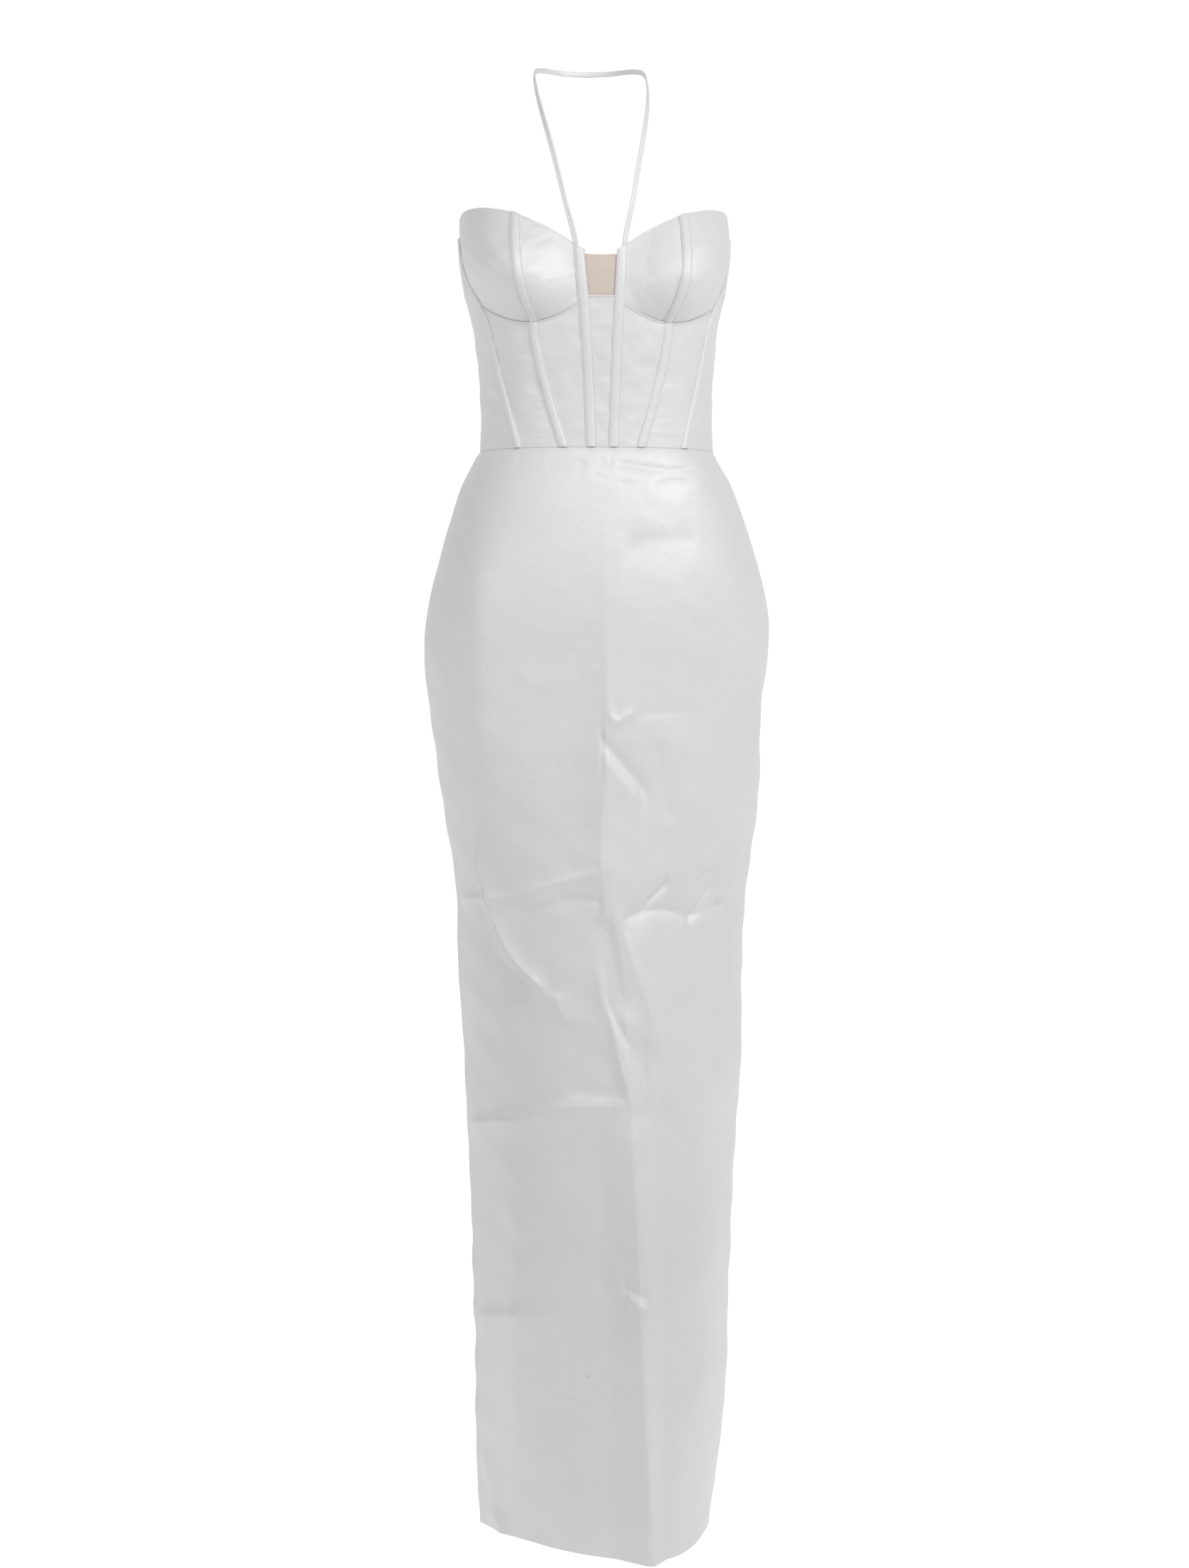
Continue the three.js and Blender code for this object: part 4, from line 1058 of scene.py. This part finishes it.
# The back, which the photograph hides: its seam, soft bands and creases of like sizes
BACK_FOLDS_DOWN = [
    (-3.1, 26, 26, 12, [(0, -600), (0, -900), (0, -1640)], (0, 0.2)),
    (3.7, 22, 24, 8, [(-70, -720), (-72, -1100), (-62, -1640)], (0, 0.25)),
    (4, 24, 20, 6, [(72, -690), (74, -1100), (66, -1640)], (0, 0.25)),
    (3.7, 7, 20, 0.8, [(-46, -900), (-30, -940), (-22, -980), (-14, -1050)], (0.25, 0.2)),
]
BACK_FOLDS_ACROSS = [
    (-2.5, 12, 7, 0.8, [(-136, -876), (-80, -892), (-24, -886), (-4, -892)], (0.05, 0.1)),
    (-2.7, 12, 7, 0.8, [(4, -890), (40, -884), (70, -880), (134, -862)], (0.1, 0.05)),
    (1.7, 10, 5, 0.8, [(-130, -842), (-70, -858), (-6, -868)]),
    (2.5, 8, 6, 1, [(20, -868), (44, -846), (66, -838), (92, -842)]),
    (-2.4, 4, 5, 0.8, [(58, -886), (84, -864), (106, -848)]),
    (3.4, 6, 9, 1, [(54, -956), (74, -928), (92, -908), (118, -882)], (0.25, 0.2)),
    (1.9, 7, 4, 0.8, [(-128, -1108), (-60, -1094), (-8, -1086)], (0.05, 0.2)),
    (1.6, 7, 4, 0.8, [(10, -1088), (60, -1092), (124, -1104)], (0.2, 0.05)),
    (1.6, 13, 4, 0.8, [(-122, -1314), (-70, -1304), (-20, -1298)], (0.05, 0.3)),
    (-2, 5, 16, 1, [(16, -682), (60, -678), (126, -674)], (0.2, 0.3)),
    (-1.6, 5, 14, 1, [(-126, -668), (-70, -674), (-20, -676)], (0.3, 0.2)),
    (-1.4, 6, 4, 1, [(-60, -424), (-30, -421), (-6, -425)]),
    (-1.2, 6, 4, 1, [(14, -428), (44, -425), (80, -427)]),
    (-1.9, 12, 7, 2, [(12, -540), (50, -528), (98, -510)]),
    (-1.6, 12, 7, 2, [(-98, -518), (-56, -532), (-14, -548)]),
]
FOLDS = [
    Fold(face, run, *row)
    for face, run, rows in (
        (FRONT, DOWN, FRONT_FOLDS_DOWN), (FRONT, ACROSS, FRONT_FOLDS_ACROSS),
        (BACK, DOWN, BACK_FOLDS_DOWN), (BACK, ACROSS, BACK_FOLDS_ACROSS),
    )
    for row in rows
]


def skirt_relief(turn, z, x):
    at_front = np.abs(turn) <= 1
    relief = np.zeros(np.shape(x))
    for fold in FOLDS:
        on_face = at_front if fold.face == FRONT else ~at_front
        relief = relief + np.where(on_face, fold.at(x, z), 0)
    off_side = smoothstep(np.abs(1 - np.abs(turn)), 0, SIDE_FLAT)
    return relief * off_side * smoothstep(WAIST_Z - z, 0, WAIST_FLAT)


def skirt_cloth(turn, z):
    base = skirt_ring(turn, z)
    x = base[..., 0] - BODY_X
    relief = skirt_relief(turn, z, x)
    round_at = turn * MM_A_TURN
    calm = smoothstep(WAIST_Z - z, 0, WAIST_CALM) * smoothstep(2 - np.abs(turn), 0, BACK_CALM)
    handled = 0.35 + 0.65 * smoothstep(-z, HANDLED_FROM, HANDLED_FULL)
    relief += calm * WAVE_RISE * soft_noise(round_at, z * 0.4, WAVE_SIZE, 101)
    relief += calm * handled * HANDLED_RISE * soft_noise(round_at, z * 0.8, HANDLED_SIZE, 102)
    return base + normal_of(skirt_ring, turn, z, 0.004, 2) * relief[..., None]


# How closely the skirt's rows lie: more at the waist, the knees and the hem
ROW_DENSITY = curve([
    (-405, 2.2), (-450, 1.5), (-520, 0.9), (-640, 0.9), (-700, 1.15), (-800, 1.2), (-860, 1.7),
    (-1000, 1.5), (-1100, 1.0), (-1500, 0.9), (-1545, 2.0),
])
ROW_ENDS = np.array([0.3, 0.7, 1.2, 1.8, 2.5, 3.4])
COLUMN_ENDS = np.array([0.4, 0.9, 1.5, 2.2, 3.2])


def skirt_levels(count):
    """Heights down the skirt, with fine steps at both ends."""
    z = np.linspace(HEM_Z, WAIST_Z, 2000)
    weight = np.cumsum(ROW_DENSITY(z))
    share = (weight - weight[0]) / (weight[-1] - weight[0])
    levels = np.interp(np.linspace(0, 1, count + 1 - 2 * len(ROW_ENDS)), share, z)
    share = (levels[1:-1] - HEM_Z) / (WAIST_Z - HEM_Z)
    middle = HEM_Z + ROW_ENDS[-1] + share * (WAIST_Z - HEM_Z - 2 * ROW_ENDS[-1])
    return np.concatenate([[HEM_Z], HEM_Z + ROW_ENDS, middle, WAIST_Z - ROW_ENDS[::-1], [WAIST_Z]])


def slit_gap(z):
    return SLIT_HALF_GAP * np.clip((SLIT_TOP - z) / (SLIT_TOP - HEM_Z), 0, 1) ** 1.5


def add_skirt_panel(part, side, turn_at, shares, rows, sides, seed):
    """sides: for each side of the panel, a seam or the slit, which is a seam at its top."""
    levels = skirt_levels(rows)
    z = np.broadcast_to(levels[:, None], (len(levels), len(shares)))
    points = skirt_cloth(turn_at(shares[None, :], z), z)
    d = edge_distances(points)
    relief = puckers(d["from"], d["top"], seed + 2) - WAIST_TUCK * ridge(d["top"], 0, 2.6)
    for edge, kind in zip(("from", "to"), sides):
        closed = smoothstep(z, SLIT_TOP - 12, SLIT_TOP + 4) if kind == "slit" else 1.0
        rolled = SIDE_ROLL * edge_relief("rolled", d[edge])
        relief += closed * (rolled + SIDE_PUCKER * puckers(z, d[edge], seed + 3))
    points = points + grid_normals(points) * relief[..., None]
    turn_up = HEM_ALLOWANCE * smoothstep(HEM_Z + HEM_TURN_UP - z, -1, 1)
    made = shell(f"{part}_satin{side}", points, SKIRT_THICK, coarse=2, under=turn_up)
    piece = finish_piece(made, MARKED_SATIN, [part + side])
    hem = line_inside(points, "bottom", HEM_TURN_UP - HEM_STITCH_IN)
    hem[:, :3] -= hem[:, 3:] * (SKIRT_THICK + HEM_ALLOWANCE + 0.05)
    hem[:, 3:] *= -1
    THREAD_LINES["hem"].append(hem)


def edge_shares(count, width):
    """Even shares of a panel's width, with fine ones at both seams."""
    ends = COLUMN_ENDS / width
    middle = np.linspace(0, 1, count + 1 - 2 * len(ends))[1:-1]
    middle = ends[-1] + middle * (1 - 2 * ends[-1])
    return np.concatenate([[0], ends, middle, 1 - ends[::-1], [1]])


def add_skirt():
    def front_turn(share, z):
        across = share * 2 - 1
        seam = np.where(across < 0, right_seam(z), left_seam(z))
        return np.sign(across) * seam * np.abs(across) ** SKIRT_SPREAD

    def back_end(z):
        return 2 - slit_gap(z) / BACK_REACH

    def back_turn_left(share, z):
        return left_seam(z) + (back_end(z) - left_seam(z)) * share

    def back_turn_right(share, z):
        return -back_end(z) + (back_end(z) - right_seam(z)) * share

    shares = edge_shares(FRONT_COLUMNS, FRONT_WIDTH)
    add_skirt_panel("skirt_front", "", front_turn, shares, FRONT_ROWS, ("seam", "seam"), 101)
    shares = edge_shares(BACK_COLUMNS, BACK_WIDTH)
    add_skirt_panel("skirt_back", "_L", back_turn_left, shares, BACK_ROWS, ("seam", "slit"), 111)
    add_skirt_panel("skirt_back", "_R", back_turn_right, shares, BACK_ROWS, ("slit", "seam"), 121)


# ZIP: tape and coil behind the centre back seam

ZIP_LENGTH = 380.0
ZIP_WIDTH = 24.0
ZIP_TOP = -202.0
ZIP_INSIDE = 3.2
ZIP_CURVE = 150.0
ZIP_THICK = 0.7
ZIP_ROWS, ZIP_COLUMNS = 150, 17
COIL_TURNS = 290
COIL_PITCH = 1.3
COIL_GAP_LOW, COIL_GAP_TOP = 4, 2
COIL_DEPTH = 0.45
COIL_LINE = ((2.1, 0), (1.0, 0.12), (-0.5, 0))
COIL_WIRE = 0.42


def back_line(z):
    """The centre back, at the outer face of the cloth."""
    z = np.asarray(z, dtype=float)
    on_bodice = torso_point(180.0, z)
    on_skirt = skirt_ring(2.0, z)
    x = on_skirt[..., 0] - BODY_X
    relief = skirt_relief(np.full(z.shape, 2.0), z, x)
    on_skirt = on_skirt + np.stack([0 * relief, relief, 0 * relief], axis=-1)
    return np.where((z > WAIST_Z)[..., None], on_bodice, on_skirt)


def add_zip():
    z = np.linspace(ZIP_TOP - ZIP_LENGTH, ZIP_TOP, ZIP_ROWS)
    x = np.linspace(0.5, -0.5, ZIP_COLUMNS) * ZIP_WIDTH
    bend = x**2 / (2 * ZIP_CURVE)
    points = back_line(z)[:, None] + np.stack([x, -bend - ZIP_INSIDE, 0 * x], axis=-1)[None]
    made = shell("zip_woven_tape", points, ZIP_THICK)
    tape = finish_piece(made, WEBBING, ["zip_tape"])
    levels = np.linspace(ZIP_TOP - ZIP_LENGTH + COIL_GAP_LOW, ZIP_TOP - COIL_GAP_TOP, COIL_TURNS)
    outward = np.tile([0.0, 1.0, 0.0], (len(COIL_LINE), 1))
    lines = []
    for side in (1, -1):
        reach = np.array([(side * x, y, 0) for x, y in COIL_LINE])
        for height in levels + side * COIL_PITCH / 4:
            centre = back_line(height) + np.array([0, COIL_DEPTH - ZIP_INSIDE, 0])
            lines.append(np.concatenate([centre + reach, outward], axis=-1))
    coil = stitches("zip_coil", lines, pitch=2 * COIL_PITCH, length=2 * COIL_PITCH, radius=COIL_WIRE)
    finish_piece(coil, COIL)


add_centre_front()
for side, sign in SIDES:
    add_bodice_side(side, sign)
    add_channels(side, sign)
add_strap()
add_skirt()
add_zip()
finish_piece(stitches("topstitching", THREAD_LINES["topstitching"]), THREAD)
finish_piece(stitches("hem_stitches", THREAD_LINES["hem"], pitch=9, length=3.0), THREAD)
for node in ("zip_slider", "zip_pull"):
    metal_node = bpy.data.objects[node]
    metal_node.data.materials.clear()
    metal_node.data.materials.append(METAL)


# STAGE: a pale floor whose paleness is painted light, as it glows white behind the dress and dimmer in
# front, soft studio light, and the photograph's camera

FLOOR_Z = -1.64
FLOOR_RADIUS = 60
WHITE_BEHIND = 1.02
GREY_BEFORE = 0.34
# How strongly the floor glows in front of the dress: painted light
FLOOR_GLOW_BEFORE = 0.44

# Each light's place and aim in metres, the side of its square and its power
LIGHTS = {
    "key": ((1.8, -1.9, 0.75), (0, -0.1, -0.5), 0.6, 24),
    "fill": ((-1.5, -2.1, 0.4), (0, -0.1, -0.6), 1.2, 9),
    "front": ((0.1, -2.6, 1.2), (0, -0.1, -0.5), 0.8, 19),
}


def glow_behind(tree, kind, before, behind, strength):
    """White behind the dress, as a lit backdrop is, and the given strength in front of it."""
    along = add_node(tree, "ShaderNodeSeparateXYZ", {"Vector": coordinates(tree, kind)}).outputs["Y"]
    return to_range(tree, along, before, behind, strength, WHITE_BEHIND)


def add_floor():
    bpy.ops.mesh.primitive_circle_add(
        vertices=96, radius=FLOOR_RADIUS, fill_type="NGON", location=(0, 0, FLOOR_Z)
    )
    floor = bpy.context.object
    floor.name = "studio_floor"
    # The floor's own colour is dark grey. Its white is painted light: a glow that is dimmer in front of the
    # dress and white behind it, and that lights the dress from below
    mat, tree = new_material("studio_floor_glow", {
        "Roughness": 0.95, "Specular IOR Level": 0.1, "Base Color": (0.12, 0.12, 0.12, 1),
        "Emission Color": (1, 1, 1, 1),
    })
    glow = glow_behind(tree, "Object", -0.9, 0.1, FLOOR_GLOW_BEFORE)
    floor.data.materials.append(linked(mat, {"Emission Strength": glow}))


def add_light(name, place, target, size, energy):
    data = bpy.data.lights.new(name, "AREA")
    data.shape = "RECTANGLE"
    data.size = size
    data.size_y = size
    data.energy = energy
    made = bpy.data.objects.new(name, data)
    made.location = place
    made.rotation_euler = (Vector(target) - Vector(place)).to_track_quat("-Z", "Y").to_euler()
    bpy.context.collection.objects.link(made)


def add_world():
    world = bpy.data.worlds.new("studio_surroundings")
    world.use_nodes = True
    bpy.context.scene.world = world
    tree = world.node_tree
    glow = glow_behind(tree, "Generated", 0.25, 0.93, GREY_BEFORE)
    tree.links.new(glow, tree.nodes["Background"].inputs["Strength"])
    tree.nodes["Background"].inputs["Color"].default_value = (1, 1, 1, 1)


CAMERA = {"distance": 3000.0, "azimuth": -4.0, "tilt": 2.95, "height": -600.0, "aside": 2.25}
FOCAL = 65.1


def add_camera():
    azimuth, tilt = math.radians(CAMERA["azimuth"]), math.radians(CAMERA["tilt"])
    ahead = Vector((-math.sin(azimuth), math.cos(azimuth), 0))
    right = Vector((math.cos(azimuth), math.sin(azimuth), 0))
    forward = ahead * math.cos(tilt) - Vector((0, 0, math.sin(tilt)))
    up = right.cross(forward)
    aim = Vector((BODY_X, BODY_Y, CAMERA["height"]))
    place = aim - ahead * CAMERA["distance"] - right * CAMERA["aside"]
    data = bpy.data.cameras.new("photo_camera")
    data.lens = FOCAL
    data.sensor_width = 36
    camera = bpy.data.objects.new("photo_camera", data)
    turn = Matrix((right, up, -forward)).transposed().to_4x4()
    camera.matrix_world = Matrix.Translation(place * MM) @ turn
    bpy.context.collection.objects.link(camera)
    bpy.context.scene.camera = camera


bpy.context.scene.view_settings.view_transform = "Standard"
add_floor()
add_world()
for name, values in LIGHTS.items():
    add_light(name, *values)
add_camera()
